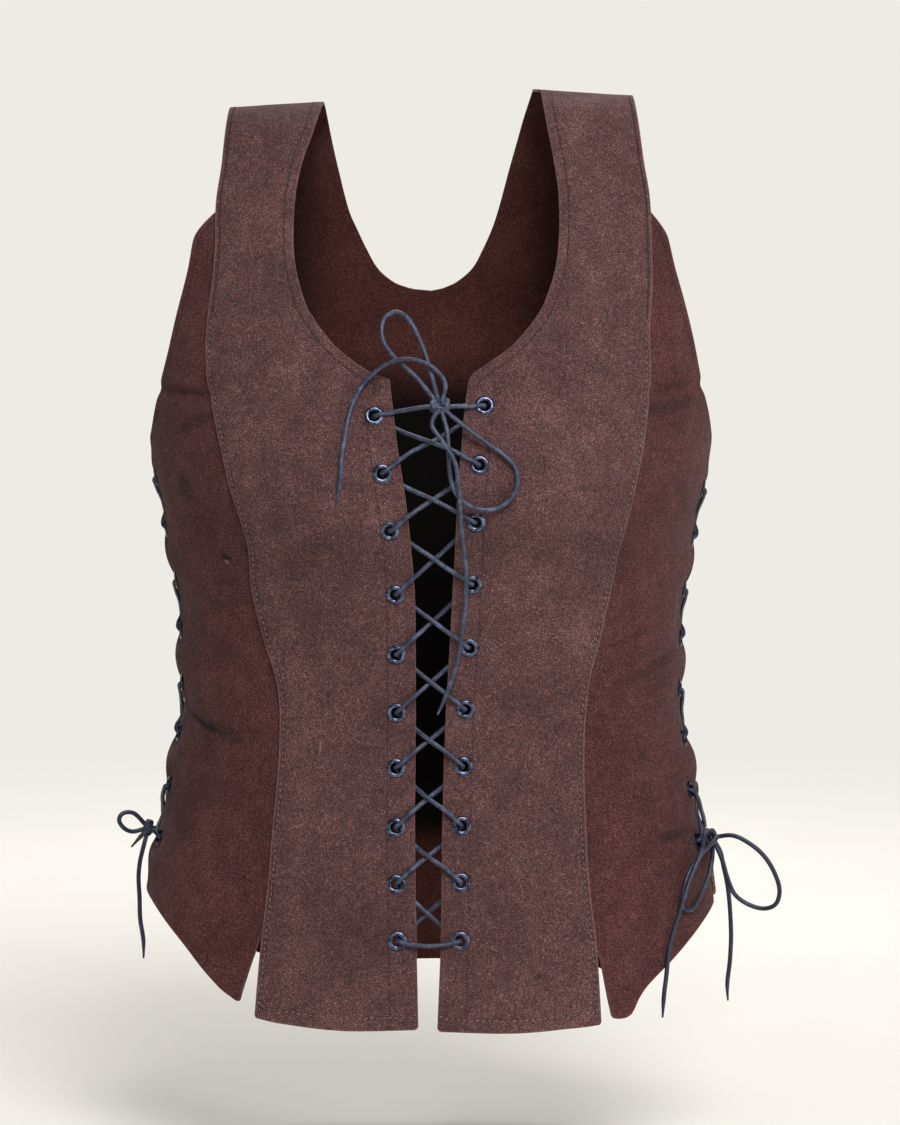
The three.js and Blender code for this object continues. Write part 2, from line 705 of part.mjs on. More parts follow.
// One strand of a side lacing from the top row down, starting on one face.
function sideStrand(side, face) {
  const path = [];
  let at = face;
  for (let row = 0; row < SIDE_ROWS - 1; row += 1) {
    const outside = row % 2 === 0;
    const leave = outside ? LEAVE_OUTSIDE : LEAVE_INSIDE;
    const across = outside ? ACROSS_OUTSIDE : ACROSS_INSIDE;
    const eyelets = [sideEyelet(side, at, row), sideEyelet(side, -at, row + 1)];
    path.push(...crossing(...eyelets, leave, across, leave, at));
    at = -at;
  }
  return path;
}

// Below the last row each end turns round its panel's edge and comes out to the knot.
function sideEnd(side, face) {
  const last = sideEyelet(side, face, SIDE_ROWS - 1);
  const knot = sideKnot(side);
  const inset = (across, out) => place({
    turn: sideEdge(side, face, last.run, across),
    run: last.run,
    out: out + last.lift,
  });
  const beyond = inset(-3.4, -1);
  return [
    inset(SIDE_INSET, WALL / 2),
    inset(SIDE_INSET - 0.5, -1),
    inset(SIDE_INSET - 2.6, -2.4),
    inset(0.5, -3),
    beyond,
    knotFace(knot, beyond),
  ];
}

function sideLacing(side) {
  const tops = [sideEyelet(side, 1, 0), sideEyelet(side, -1, 0)];
  const bar = crossing(...tops, LEAVE_INSIDE, [{ share: 0.5, out: -3, apart: 0 }], LEAVE_INSIDE, 0);
  const ends = [sideStrand(side, 1), sideStrand(side, -1)].map((s) => s.map(place));
  // A strand crosses to the other face each row, so it ends on the face opposite its start.
  const route = [
    ...[...ends[0], ...sideEnd(side, -1)].reverse(),
    ...bar.slice(1).map(place),
    ...ends[1],
    ...sideEnd(side, 1),
  ];
  return laceAlong(route, 6);
}

function knotShape({ half, middle }) {
  return new THREE.SphereGeometry(1, 8, 6).scale(...half).translate(...middle);
}

// Where a cord that runs through a point meets its knot.
function knotFace({ half, middle }, beside) {
  const away = beside.clone().sub(middle).normalize();
  const reach = 1 / away.clone().divide(new THREE.Vector3(...half)).length();
  return middle.clone().addScaledVector(away, reach + SEAM_GAP);
}

function freeCord(name, points, knot) {
  const route = [knotFace(knot, points[0]), ...points];
  if (name.includes('loop')) route.push(knotFace(knot, points[points.length - 1]));
  return laceAlong(route, 8);
}

function onSide(side, [y, drop, out]) {
  const run = runOf(drop);
  return place({ turn: turnAtDepth(y, run, side), run, out });
}

function onFront([across, drop, out]) {
  const run = runOf(drop);
  return place({ turn: turnAcross(across, run), run, out });
}

function sideKnot(side) {
  const { y, drop, out, half } = SIDE_KNOTS[sideName(side)];
  return { half, middle: onSide(side, [y, drop, out]) };
}

// ---------------------------------------------------------------- the bodice

const bodice = new THREE.Group();
function add(name, geometry, material) {
  const mesh = new THREE.Mesh(geometry, material);
  mesh.name = name;
  bodice.add(mesh);
}

for (const side of [-1, 1]) {
  const name = sideName(side);
  const frontHoles = FRONT_ROWS.map((_, row) => frontEyelet(side, row));
  const front = punch(frontCentre(side), frontHoles);
  add('front_centre_' + name, toGeometry(front), LEATHER_FRONT);
  for (const face of [1, -1]) {
    const sideHoles = Array.from({ length: SIDE_ROWS }, (_, row) => sideEyelet(side, face, row));
    const panel = punch(sidePanel(side, face), sideHoles);
    add((face > 0 ? 'front_side_' : 'back_side_') + name, toGeometry(panel), LEATHER_SIDE);
  }
  frontHoles.forEach((hole, row) => {
    const eyelet = setInto(eyeletShape(), hole);
    add('front_eyelet_' + name + '_' + (row + 1), eyelet, METAL);
  });
  add('side_lacing_' + name, sideLacing(side), CORD);
  add('side_knot_' + name, knotShape(sideKnot(side)), CORD);
}
add('back_centre', toGeometry(backCentreHalf(-1).add(backCentreHalf(1))), LEATHER_BACK);
add('front_lacing', frontLacing(), CORD);
const { across, drop, out, half } = FRONT_KNOT;
const frontKnot = { half, middle: onFront([across, drop, out]) };
add('front_knot', knotShape(frontKnot), CORD);

for (const [name, rows] of Object.entries(FRONT_CORDS)) {
  add(name, freeCord(name, rows.map(onFront), frontKnot), CORD);
}
for (const [name, rows] of Object.entries(SIDE_CORDS)) {
  const side = name.endsWith('left') ? 1 : -1;
  const points = rows.map((row) => onSide(side, row));
  add(name, freeCord(name, points, sideKnot(side)), CORD);
}

export default bodice;
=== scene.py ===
"""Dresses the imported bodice: suede panels with their seams and darts, metal eyelets, round laces
with their bows, and topstitching.

Metres. +Z is up, -Y is the front, and +X is the wearer's left. The origin is midway between the
two straps, at the height of the shoulder seams.
"""

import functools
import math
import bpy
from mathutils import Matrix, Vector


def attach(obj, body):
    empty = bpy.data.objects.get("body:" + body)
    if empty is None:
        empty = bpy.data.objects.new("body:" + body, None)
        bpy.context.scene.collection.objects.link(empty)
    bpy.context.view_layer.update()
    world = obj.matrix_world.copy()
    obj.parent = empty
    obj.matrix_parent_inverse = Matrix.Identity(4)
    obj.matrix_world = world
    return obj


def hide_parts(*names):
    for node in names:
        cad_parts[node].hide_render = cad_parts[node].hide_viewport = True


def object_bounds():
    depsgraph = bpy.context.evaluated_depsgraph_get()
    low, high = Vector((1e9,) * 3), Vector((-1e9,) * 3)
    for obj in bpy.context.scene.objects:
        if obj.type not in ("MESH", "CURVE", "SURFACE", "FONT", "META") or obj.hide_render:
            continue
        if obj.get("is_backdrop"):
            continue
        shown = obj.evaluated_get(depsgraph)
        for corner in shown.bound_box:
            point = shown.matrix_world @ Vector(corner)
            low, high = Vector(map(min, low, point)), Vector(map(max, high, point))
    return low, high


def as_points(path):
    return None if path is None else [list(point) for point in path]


bl_info = {
    "name": "Laced leather bodice",
    "version": (1, 0, 0),
    "blender": (4, 5, 0),
    "location": "View3D > Sidebar > Bodice",
    "description": "Suede panels, eyelets, laces, bows and topstitching round the packed bodice",
    "category": "Object",
}

import bmesh
import bpy
import numpy as np
from bpy.props import FloatProperty, FloatVectorProperty, PointerProperty
from mathutils import Matrix, Vector

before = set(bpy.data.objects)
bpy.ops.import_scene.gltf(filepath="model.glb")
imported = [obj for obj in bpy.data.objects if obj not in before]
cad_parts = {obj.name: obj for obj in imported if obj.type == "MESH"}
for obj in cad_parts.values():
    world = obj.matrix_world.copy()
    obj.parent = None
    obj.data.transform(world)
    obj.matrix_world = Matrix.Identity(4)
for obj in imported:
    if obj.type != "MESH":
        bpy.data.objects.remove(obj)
CAD_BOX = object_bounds()
BODY = "root"

# ---------------------------------------------------------------- driving sizes

WALL = 0.0018  # thickness of the leather
SEAM_GAP = 0.0003  # between pieces that touch
SHOULDER_GAP = 0.00006  # between the edges of a sewn shoulder seam
LAP = 0.008  # how far a centre panel lies over its side panel
LAP_LIFT = WALL + SEAM_GAP
HOLE_RADIUS = 0.0042  # punched in the leather
FRONT_INSET = 0.0115  # from a front edge to the middle of its eyelets
SIDE_INSET = 0.009  # the same at the side lacings
CORNER = 0.0018  # radius of the tabs' corners
SEAT = 0.0062  # radius of the leather that an eyelet presses flat
DIMPLE = 0.00015  # and how far it presses it in


def table(columns, rows):
    """Rows of numbers as named columns."""
    return dict(zip(columns.split(), np.array(rows).T))


# The body of the garment: level sections, one row for each drop below the shoulder.
# half: half of the width. front, back: depth before and behind the side line.
# lean: where the side line lies, front to back.
FIGURE = table("drop half front back lean", [
    (0, 0.166, 0.042, 0.04, 0.012), (0.03, 0.168, 0.048, 0.045, 0.011),
    (0.06, 0.169, 0.063, 0.058, 0.008), (0.1, 0.17, 0.083, 0.074, 0.005),
    (0.15, 0.17, 0.102, 0.088, 0.002), (0.205, 0.169, 0.116, 0.095, 0),
    (0.245, 0.162, 0.119, 0.094, 0), (0.29, 0.1535, 0.107, 0.088, 0),
    (0.34, 0.1505, 0.097, 0.079, 0), (0.38, 0.1525, 0.093, 0.074, 0),
    (0.43, 0.163, 0.096, 0.079, 0), (0.48, 0.1735, 0.103, 0.089, 0), (0.53, 0.178, 0.109, 0.098, 0),
    (0.575, 0.182, 0.113, 0.104, 0),
])
ROUNDNESS = 2.3  # power of the section's curve: 2 is an ellipse
ARCH = 0.026  # radius of the round over the shoulder
NECK_HALF = 0.066  # from the centre to the neck end of the shoulder seam
SHOULDER_SLOPE = 0.06  # each shoulder seam falls outwards
SHOULDER_TILT = 0.0036  # and the left strap is set a little higher than the right
TILT_REACH = 0.05  # and the right lower, fully from this far out
SHOULDER_FADE = 0.1  # both die out over this drop
BUST = {"across": 0.08, "drop": 0.235, "wide": 0.046, "high": 0.052, "full": 0.009}

# Soft hollows (deep > 0) and ridges (deep < 0) in the leather. face is 1 on the front.
# across: distance from the centre, with its sign. long lies along the fold, wide across it.
# tilt: degrees that the fold climbs towards +X.
FOLDS = table("face across drop long wide tilt deep", [
    (1, -0.146, 0.177, 0.03, 0.004, -6, 0.0018), (1, 0.146, 0.175, 0.03, 0.004, 8, 0.0018),
    (1, -0.112, 0.268, 0.026, 0.009, 14, 0.0012), (1, 0.116, 0.272, 0.026, 0.009, -16, 0.0012),
    (1, -0.062, 0.276, 0.034, 0.008, -5, 0.001), (1, 0.06, 0.272, 0.034, 0.008, 6, 0.001),
    (1, -0.138, 0.374, 0.02, 0.006, -32, 0.0016), (1, 0.132, 0.352, 0.018, 0.007, 24, 0.0012),
    (-1, -0.096, 0.33, 0.034, 0.008, 8, 0.0014), (-1, 0.09, 0.345, 0.038, 0.008, -6, 0.0014),
    (-1, 0.128, 0.176, 0.026, 0.006, -12, 0.0014),
])
# Finer creases, which the laces don't follow.
CREASES = table("face across drop long wide tilt deep", [
    (1, -0.118, 0.3, 0.022, 0.0045, -28, 0.0009), (1, -0.128, 0.318, 0.018, 0.004, -18, -0.0007),
    (1, -0.122, 0.338, 0.024, 0.0055, -34, 0.001), (1, -0.112, 0.356, 0.02, 0.0045, -40, -0.0006),
    (1, -0.134, 0.398, 0.016, 0.004, -12, 0.0008), (1, -0.128, 0.25, 0.02, 0.006, -70, 0.0009),
    (1, 0.116, 0.318, 0.026, 0.006, 32, 0.001), (1, 0.124, 0.336, 0.024, 0.005, 38, -0.0007),
    (1, 0.112, 0.362, 0.024, 0.006, 30, 0.0009), (1, 0.13, 0.386, 0.018, 0.0045, 22, 0.0007),
    (1, 0.134, 0.226, 0.018, 0.006, 64, 0.0009), (1, -0.07, 0.33, 0.03, 0.01, 12, 0.0006),
    (1, -0.04, 0.42, 0.034, 0.011, -8, 0.0005), (1, 0.058, 0.352, 0.03, 0.01, -14, 0.0006),
    (1, 0.046, 0.452, 0.03, 0.012, 10, 0.0005), (1, -0.1, 0.052, 0.022, 0.006, 24, 0.0006),
    (1, 0.092, 0.028, 0.02, 0.005, -34, 0.0007), (1, 0.098, 0.06, 0.024, 0.006, -20, 0.0006),
    (-1, -0.118, 0.262, 0.026, 0.006, 36, 0.001), (-1, 0.116, 0.27, 0.028, 0.006, -34, 0.001),
    (-1, -0.122, 0.34, 0.024, 0.005, 22, 0.0009), (-1, 0.124, 0.352, 0.022, 0.005, -26, 0.0009),
    (-1, -0.04, 0.3, 0.04, 0.008, 6, 0.0008), (-1, 0.03, 0.326, 0.044, 0.008, -5, 0.0008),
    (-1, 0.01, 0.362, 0.05, 0.009, 3, 0.0007), (-1, -0.06, 0.18, 0.03, 0.009, 40, 0.0006),
    (-1, 0.064, 0.186, 0.03, 0.009, -38, 0.0006),
])
# The bust darts: a stitched fold with a ridge over a sunk line.
DARTS = table("across drop long tilt", [
    (-0.143, 0.1745, 0.015, -12),
    (0.143, 0.172, 0.017, 9),
])
DART = {"ridge": 0.0011, "wide": 0.0022, "sunk": 0.0013, "below": 0.0028}

# Edges. right and left are the distances from the centre line on the wearer's two sides.
FRONT_EDGE = table("drop right left", [
    (0.168, 0.0235, 0.0225), (0.185, 0.0215, 0.02), (0.209, 0.0185, 0.018), (0.231, 0.015, 0.016),
    (0.255, 0.012, 0.015), (0.292, 0.009, 0.013), (0.33, 0.0085, 0.011), (0.365, 0.0085, 0.009),
    (0.43, 0.009, 0.007), (0.5, 0.008, 0.006), (0.552, 0.007, 0.004),
])
FRONT_NECK = table("drop right left", [
    (0, 0.065, 0.066), (0.018, 0.07, 0.069), (0.039, 0.077, 0.073), (0.062, 0.0805, 0.076),
    (0.098, 0.08, 0.0745), (0.124, 0.073, 0.0665), (0.137, 0.065, 0.058), (0.149, 0.055, 0.047),
    (0.157, 0.045, 0.036), (0.164, 0.034, 0.0255), (0.168, 0.0235, 0.0225),
])
BACK_NECK = table("drop right left", [
    (0, 0.065, 0.062), (0.018, 0.062, 0.056), (0.042, 0.057, 0.049), (0.067, 0.051, 0.042),
    (0.079, 0.046, 0.038), (0.092, 0.04, 0.032), (0.104, 0.033, 0.025), (0.112, 0.0235, 0.0155),
    (0.1152, 0.0155, 0.0085), (0.1164, 0.0105, 0.0045), (0.1169, 0.006, 0.0015), (0.117, 0, 0),
])
FRONT_PRINCESS = table("drop right left", [
    (0, 0.122, 0.1225), (0.036, 0.125, 0.127), (0.066, 0.127, 0.13), (0.09, 0.1265, 0.13),
    (0.113, 0.128, 0.13), (0.14, 0.1305, 0.128), (0.166, 0.13, 0.128), (0.188, 0.126, 0.126),
    (0.209, 0.121, 0.123), (0.232, 0.115, 0.118), (0.257, 0.107, 0.112), (0.295, 0.103, 0.104),
    (0.325, 0.096, 0.098), (0.345, 0.09, 0.093), (0.365, 0.088, 0.091), (0.395, 0.089, 0.09),
    (0.43, 0.092, 0.091), (0.465, 0.095, 0.093), (0.5, 0.099, 0.097), (0.546, 0.103, 0.1),
])
BACK_PRINCESS = table("drop right left", [
    (0, 0.122, 0.1225), (0.036, 0.126, 0.127), (0.066, 0.128, 0.13), (0.09, 0.124, 0.125),
    (0.113, 0.119, 0.119), (0.14, 0.113, 0.113), (0.188, 0.102, 0.102), (0.232, 0.093, 0.093),
    (0.295, 0.082, 0.082), (0.345, 0.075, 0.075), (0.38, 0.074, 0.074), (0.43, 0.079, 0.079),
    (0.5, 0.091, 0.091), (0.546, 0.098, 0.098),
])
# How far the armholes and the side lacings' edges stand before or behind the plane Y = 0.
ARMHOLE_TOP = 0.062
ARMHOLE_END = 0.206
FRONT_ARMHOLE = table("drop right left", [
    (0.062, 0.037, 0.036), (0.081, 0.041, 0.041), (0.104, 0.047, 0.046), (0.128, 0.049, 0.047),
    (0.152, 0.048, 0.045), (0.176, 0.042, 0.04), (0.192, 0.034, 0.03), (0.201, 0.025, 0.021),
    (0.206, 0.012, 0.012),
])
BACK_ARMHOLE = table("drop right left", [
    (0.062, 0.05, 0.049), (0.081, 0.049, 0.049), (0.104, 0.049, 0.049), (0.128, 0.049, 0.049),
    (0.152, 0.047, 0.047), (0.176, 0.041, 0.041), (0.192, 0.032, 0.032), (0.201, 0.023, 0.023),
    (0.206, 0.012, 0.012),
])
FRONT_SIDE_EDGE = table("drop right left", [
    (0.206, 0.012, 0.012), (0.29, 0.01, 0.01), (0.34, 0.01, 0.01), (0.39, 0.011, 0.012),
    (0.42, 0.014, 0.021), (0.45, 0.019, 0.027), (0.49, 0.02, 0.03),
])
BACK_SIDE_EDGE = table("drop right left", [
    (0.206, 0.012, 0.012), (0.29, 0.011, 0.011), (0.34, 0.011, 0.01), (0.39, 0.013, 0.008),
    (0.42, 0.016, 0.007), (0.45, 0.019, 0.008), (0.49, 0.02, 0.01),
])
NECK_END = 0.168  # of the front opening
BACK_NECK_END = 0.1171
LAP_START = 0.034  # the laps rise from here down to the top of the armholes
LAP_REACH = 1.6  # and from so many laps' widths inside the lapped line
TUCK = 0.0035  # at its top a side panel draws in under the centre panel
TUCK_END = 0.086
SCALLOP = 0.0016  # the side edges bulge between the lace's outer crossings
SHALLOW = 0.4  # share of a bulge that a hollow between two has
RIPPLE_HEIGHT = 0.0036  # and stand off the body there
RIPPLE_START = 0.375  # share of a side panel's width where the ripples start

# Hems: how far each lies below the level HEM, from a panel's inner edge (0) to its outer (1).
HEM = 0.545
LEVEL_BAND = 0.13  # rows above the hem flatten out over this height
CENTRE_HEM = table("along right left", [
    (0, 0.005, 0.006), (0.4, 0.006, 0.0075), (0.8, 0.003, 0.0055), (1, 0, 0.004),
])
SIDE_HEM = table("along right left", [
    (0, -0.008, 0.001), (0.06, -0.0112, 0.0015), (0.12, -0.0146, -0.001), (0.18, -0.019, -0.0095),
    (0.26, -0.025, -0.0175), (0.48, -0.042, -0.032), (0.76, -0.058, -0.048), (1, -0.066, -0.059),
])
BACK_HEM = table("along right left", [
    (0, -0.003, -0.003),
    (0.5, -0.002, -0.002),
    (1, -0.005, -0.005),
])
# The slits between the tabs: how far a side panel's edge stands off its lapped line.
SLIT = table("drop right left", [
    (0.476, 0, 0), (0.484, 0.004, 0.0015), (0.492, 0.008, 0.004), (0.5, 0.0098, 0.0068),
    (0.515, 0.0135, 0.0105), (0.53, 0.017, 0.0125), (0.546, 0.02, 0.015),
])
# The slits' edges on the side tabs are turned and stand up.
TURNED_EDGE = {"top": 0.49, "wide": 0.0045, "high": 0.0009}

# Eyelet rows: drops below the shoulder.
FRONT_ROWS = table("right left", [
    (0.189, 0.183), (0.222, 0.217), (0.255, 0.25), (0.293, 0.287), (0.329, 0.325), (0.364, 0.362),
    (0.397, 0.396), (0.432, 0.431), (0.465, 0.464), (0.498, 0.498),
])
FRONT_ROW_COUNT = len(FRONT_ROWS["right"])
SIDE_ROWS = 8
SIDE_FIRST = {"right": 0.228, "left": 0.235}
SIDE_PITCH = {"right": 0.0313, "left": 0.0305}

# An eyelet's section, from its axis and from the leather's outer face.
EYELET_SECTION = table("radius height", [
    (0.003, -0.0022), (0.003, 0), (0.00318, 0.0006), (0.0037, 0.0009), (0.0043, 0.001),
    (0.0049, 0.0009), (0.0054, 0.0006), (0.00566, 0.0002), (0.0056, -0.0001), (0.0036, -0.0001),
    (0.0035, -0.0004), (0.0035, -0.0019), (0.00455, -0.002), (0.00465, -0.0022),
])
EYELET_STEPS = 28  # round an eyelet

# How a lace passes an eyelet and crosses a gap. along: from the eyelet's middle, or as a share
# of the whole crossing. out: from the inside face of the leather.
LEAVE_OUTSIDE = table("along out", [(0.0006, 0.0019), (0.0032, 0.0032), (0.0068, 0.0029)])
LEAVE_INSIDE = table("along out", [(0.0005, -0.001), (0.0026, -0.0023)])
DIVE = table("share out apart", [
    (0.28, 0.0044, 0.0002),
    (0.49, 0.0008, 0.00165),
    (0.69, -0.0023, 0.0001),
])
ACROSS_OUTSIDE = table("share out apart", [
    (0.27, 0.0014, 0.0009),
    (0.5, 0.0001, 0.0014),
    (0.73, 0.0014, 0.0009),
])
ACROSS_INSIDE = table("share out apart", [(0.5, -0.0039, 0.0016)])
LOWEST_BAR = table("share out apart", [(0.3, 0.0042, 0), (0.5, 0.0044, 0), (0.7, 0.0042, 0)])
SAG = 0.0028  # of the lowest bar
TO_KNOT = table("share out apart", [(0.6, 0.0052, 0)])
TOP_BAR = table("share out apart", [(0.5, -0.003, 0)])
# Below the last side row an end turns round its panel's edge. across: from the edge.
ROUND_EDGE = table("across out", [
    (0.009, 0.0009), (0.0085, -0.001), (0.0064, -0.0024), (0.0005, -0.003), (-0.0034, -0.001),
])

# The three bows. A knot is given by its middle and half sizes, and a cord by its length and its
# route, which starts at its knot. A loop ends there too. A row of a route holds drop and out
# after the distance across, or at a side after Y.
FRONT_KNOT = {"across": 0.006, "drop": 0.185, "out": 0.0075, "half": (0.006, 0.0038, 0.0046)}
SIDE_KNOTS = {
    "right": {"y": -0.002, "drop": 0.446, "out": 0.0066, "half": (0.0042, 0.0056, 0.0048)},
    "left": {"y": -0.022, "drop": 0.449, "out": 0.0064, "half": (0.0042, 0.0056, 0.0048)},
}
FRONT_CORDS = {
    "front_loop_right": [
        (-0.008, 0.169, 0.0095), (-0.019, 0.159, 0.009), (-0.026, 0.15, 0.0085),
        (-0.028, 0.142, 0.0085), (-0.026, 0.135, 0.009), (-0.02, 0.132, 0.01),
        (-0.013, 0.136, 0.011), (-0.008, 0.144, 0.0115), (-0.004, 0.153, 0.012),
        (-0.001, 0.162, 0.012), (0.002, 0.172, 0.0115),
    ],
    "front_loop_left": [
        (0.017, 0.194, 0.0085), (0.025, 0.2, 0.0075), (0.034, 0.206, 0.006), (0.043, 0.212, 0.0046),
        (0.0495, 0.219, 0.0042), (0.0505, 0.228, 0.0042), (0.047, 0.236, 0.0044),
        (0.04, 0.241, 0.005), (0.032, 0.242, 0.0062), (0.024, 0.24, 0.008), (0.017, 0.235, 0.009),
        (0.013, 0.228, 0.0094), (0.0115, 0.219, 0.0096), (0.011, 0.209, 0.0098),
        (0.01, 0.199, 0.0098),
    ],
    "front_tail_right": [
        (0.009, 0.174, 0.013), (0.003, 0.166, 0.0154), (-0.007, 0.161, 0.0144),
        (-0.017, 0.16, 0.0126), (-0.027, 0.163, 0.01), (-0.037, 0.17, 0.0064),
        (-0.043, 0.179, 0.0044), (-0.047, 0.189, 0.004), (-0.049, 0.2, 0.004),
        (-0.051, 0.212, 0.004), (-0.052, 0.225, 0.004), (-0.054, 0.239, 0.004),
    ],
    "front_tail_left": [
        (0.001, 0.196, 0.013), (0.008, 0.206, 0.0136), (0.015, 0.217, 0.0132),
        (0.017, 0.229, 0.013), (0.018, 0.241, 0.0116), (0.0185, 0.252, 0.0096),
        (0.02, 0.265, 0.0088), (0.021, 0.278, 0.0086), (0.0205, 0.292, 0.0086),
        (0.0195, 0.306, 0.0086), (0.0175, 0.32, 0.0088), (0.015, 0.334, 0.009),
        (0.011, 0.346, 0.009), (0.0075, 0.356, 0.0088), (0.004, 0.364, 0.0086),
    ],
}
SIDE_CORDS = {
    "right": {
        "side_loop_right": [
            (-0.006, 0.4385, 0.018), (-0.008, 0.44, 0.024), (-0.009, 0.444, 0.0255),
            (-0.008, 0.4485, 0.0215), (-0.006, 0.45, 0.016),
        ],
        "side_stub_right": [(0.005, 0.456, 0.012), (0.007, 0.461, 0.015)],
        "side_tail_right": [
            (-0.0055, 0.458, 0.007), (-0.007, 0.466, 0.0072), (-0.008, 0.475, 0.0064),
            (-0.009, 0.487, 0.004), (-0.01, 0.5, 0.0024), (-0.01, 0.512, -0.0004),
            (-0.009, 0.524, -0.0014),
        ],
    },
    "left": {
        "side_loop_left": [
            (-0.023, 0.45, 0.019), (-0.024, 0.456, 0.028), (-0.025, 0.464, 0.0355),
            (-0.026, 0.474, 0.0405), (-0.026, 0.484, 0.042), (-0.026, 0.491, 0.0385),
            (-0.025, 0.493, 0.0305), (-0.025, 0.49, 0.0214), (-0.025, 0.484, 0.014),
            (-0.025, 0.474, 0.011), (-0.025, 0.463, 0.01),
        ],
        "side_loop_small_left": [
            (-0.036, 0.461, 0.008), (-0.042, 0.471, 0.006), (-0.05, 0.48, 0.0046),
            (-0.058, 0.487, 0.0044), (-0.063, 0.485, 0.0044), (-0.061, 0.477, 0.0044),
            (-0.056, 0.466, 0.0056), (-0.046, 0.456, 0.0086), (-0.034, 0.449, 0.013),
        ],
        "side_tail_front_left": [
            (-0.034, 0.443, 0.0084), (-0.042, 0.446, 0.0108), (-0.05, 0.455, 0.0124),
            (-0.058, 0.468, 0.0096), (-0.064, 0.481, 0.0078), (-0.069, 0.496, 0.0048),
            (-0.073, 0.51, 0.004), (-0.0755, 0.523, 0.004), (-0.078, 0.535, 0.004),
            (-0.08, 0.548, 0.004),
        ],
        "side_tail_back_left": [
            (-0.014, 0.46, 0.008), (-0.011, 0.467, 0.0076), (-0.008, 0.48, 0.008),
            (-0.007, 0.495, 0.0078), (-0.006, 0.512, 0.0072), (-0.006, 0.528, 0.0052),
            (-0.006, 0.541, 0.0026), (-0.006, 0.551, 0.0022),
        ],
    },
}
CORD_LENGTHS = {
    "front_loop_right": 0.136,
    "front_loop_left": 0.161,
    "front_tail_right": 0.144,
    "front_tail_left": 0.195,
    "side_loop_right": 0.045,
    "side_tail_right": 0.079,
    "side_loop_left": 0.13,
    "side_loop_small_left": 0.131,
    "side_tail_front_left": 0.141,
    "side_tail_back_left": 0.107,
}
# The short end of the right side bow is too short to count as a cord of its own.
CORD_PIECES = {"side_tail_right": ("side_stub_right",)}
# The turns of cord that make a knot, as shares of its half sizes: each is a ring, leaned back,
# turned about the upright and spun about the outward axis in degrees, and slid across.
KNOT_TURNS = table("across up lean turn spin slide", [
    (1.1, 1.16, 30, 6, -18, -0.1), (0.66, 1.2, 4, 62, 18, 0.46), (0.6, 1.1, -8, -58, -24, -0.56),
    (0.95, 0.62, 64, 0, 26, 0.1), (0.5, 0.72, 10, 20, 50, 0.05),
])
IN_KNOT = 0.45  # cords end this share of the way out of a knot
TIP = {"long": 0.012, "thinner": 0.55}  # the cut ends of the tails

# Topstitching: how far each line lies from its edge, and the drops between which it runs.
STITCH = {
    "long": 0.0028, "wide": 0.00068, "high": 0.00055, "slant": 0.16, "wander": 0.00014, "proud": 0.12,
}
SHADED_THREAD_END = 0.13  # on the straps the lap seam's stitches take the darker thread colour, painted shade for their pits
LAP_STITCH = 0.0029
NECK_STITCH = 0.0058
BACK_NECK_STITCH = 0.0042
ARMHOLE_STITCH = 0.0044
FACING_STITCH = 0.0165
SIDE_FACING_STITCH = 0.015
HEM_STITCH = 0.0075
BACK_NECK_SEWN = 0.1215
FACING_SEWN = 0.178
SIDE_FACING_SEWN = (0.215, 0.47)

# Heights of the finest relief.
NAP_HEIGHT = 0.00035
FIBER_HEIGHT = 0.0003  # on the raw edges
WRINKLE_HEIGHT = 0.00018  # on the laces
SCRATCH_DEPTH = 0.00004  # in the metal
PLY_HEIGHT = 0.00012  # on the thread
FLOOR_GRAIN = 0.0001
SEAM_DEPTH = 1.4  # of a sewn groove, in nap heights

# Patches on the leather: painted shade along folds and creases, below the bust darts and under the bust,
# and small spots and streaks. Each has across, drop, half length, half width, turn in degrees, and how
# much darker (above 0) or lighter (below 0) it is.
SHADE_PATCHES_AND_SPOTS = {
    "front_centre_right": [
        (-0.0647, 0.385, 0.007, 0.0009, -78, -0.6), (-0.0318, 0.1737, 0.004, 0.0022, 20, 0.5),
        (-0.104, 0.305, 0.045, 0.013, 82, 0.16), (-0.083, 0.245, 0.03, 0.01, -24, 0.14),
    ],
    "front_centre_left": [
        (0.0674, 0.4936, 0.004, 0.0026, 30, 0.5), (0.0633, 0.5189, 0.0035, 0.0024, 0, 0.5),
        (0.088, 0.262, 0.034, 0.009, 28, 0.16), (0.098, 0.44, 0.04, 0.012, -70, 0.14),
    ],
    "front_side_right": [
        (-0.136, 0.3753, 0.018, 0.0028, 26, 0.95), (-0.124, 0.379, 0.02, 0.005, 20, 0.35),
        (-0.1205, 0.274, 0.0055, 0.0036, 40, 1.0), (-0.1205, 0.2762, 0.003, 0.0018, 40, -1.0),
        (-0.1458, 0.232, 0.013, 0.006, 62, 0.4), (-0.139, 0.1935, 0.022, 0.005, -24, 0.35),
        (-0.147, 0.44, 0.02, 0.007, 60, 0.2),
    ],
    "front_side_left": [
        (0.145, 0.442, 0.016, 0.005, -12, 0.6), (0.1306, 0.3415, 0.032, 0.005, -24, 0.35),
        (0.12, 0.3215, 0.024, 0.004, -20, 0.3), (0.14, 0.185, 0.03, 0.006, -12, 0.45),
        (0.15, 0.238, 0.024, 0.007, 70, 0.2),
    ],
    "back_side_right": [
        (-0.143, 0.372, 0.017, 0.004, -22, 0.4),
        (-0.15, 0.236, 0.02, 0.006, 70, 0.25),
    ],
    "back_side_left": [
        (0.146, 0.356, 0.022, 0.004, 20, 0.4),
        (0.152, 0.43, 0.017, 0.006, -14, 0.35),
    ],
    "back_centre": [
        (-0.044, 0.31, 0.04, 0.008, 74, 0.18), (0.052, 0.39, 0.034, 0.009, -68, 0.18),
        (0.012, 0.465, 0.006, 0.001, 70, -0.5), (-0.021, 0.21, 0.004, 0.0024, 20, 0.5),
    ],
}
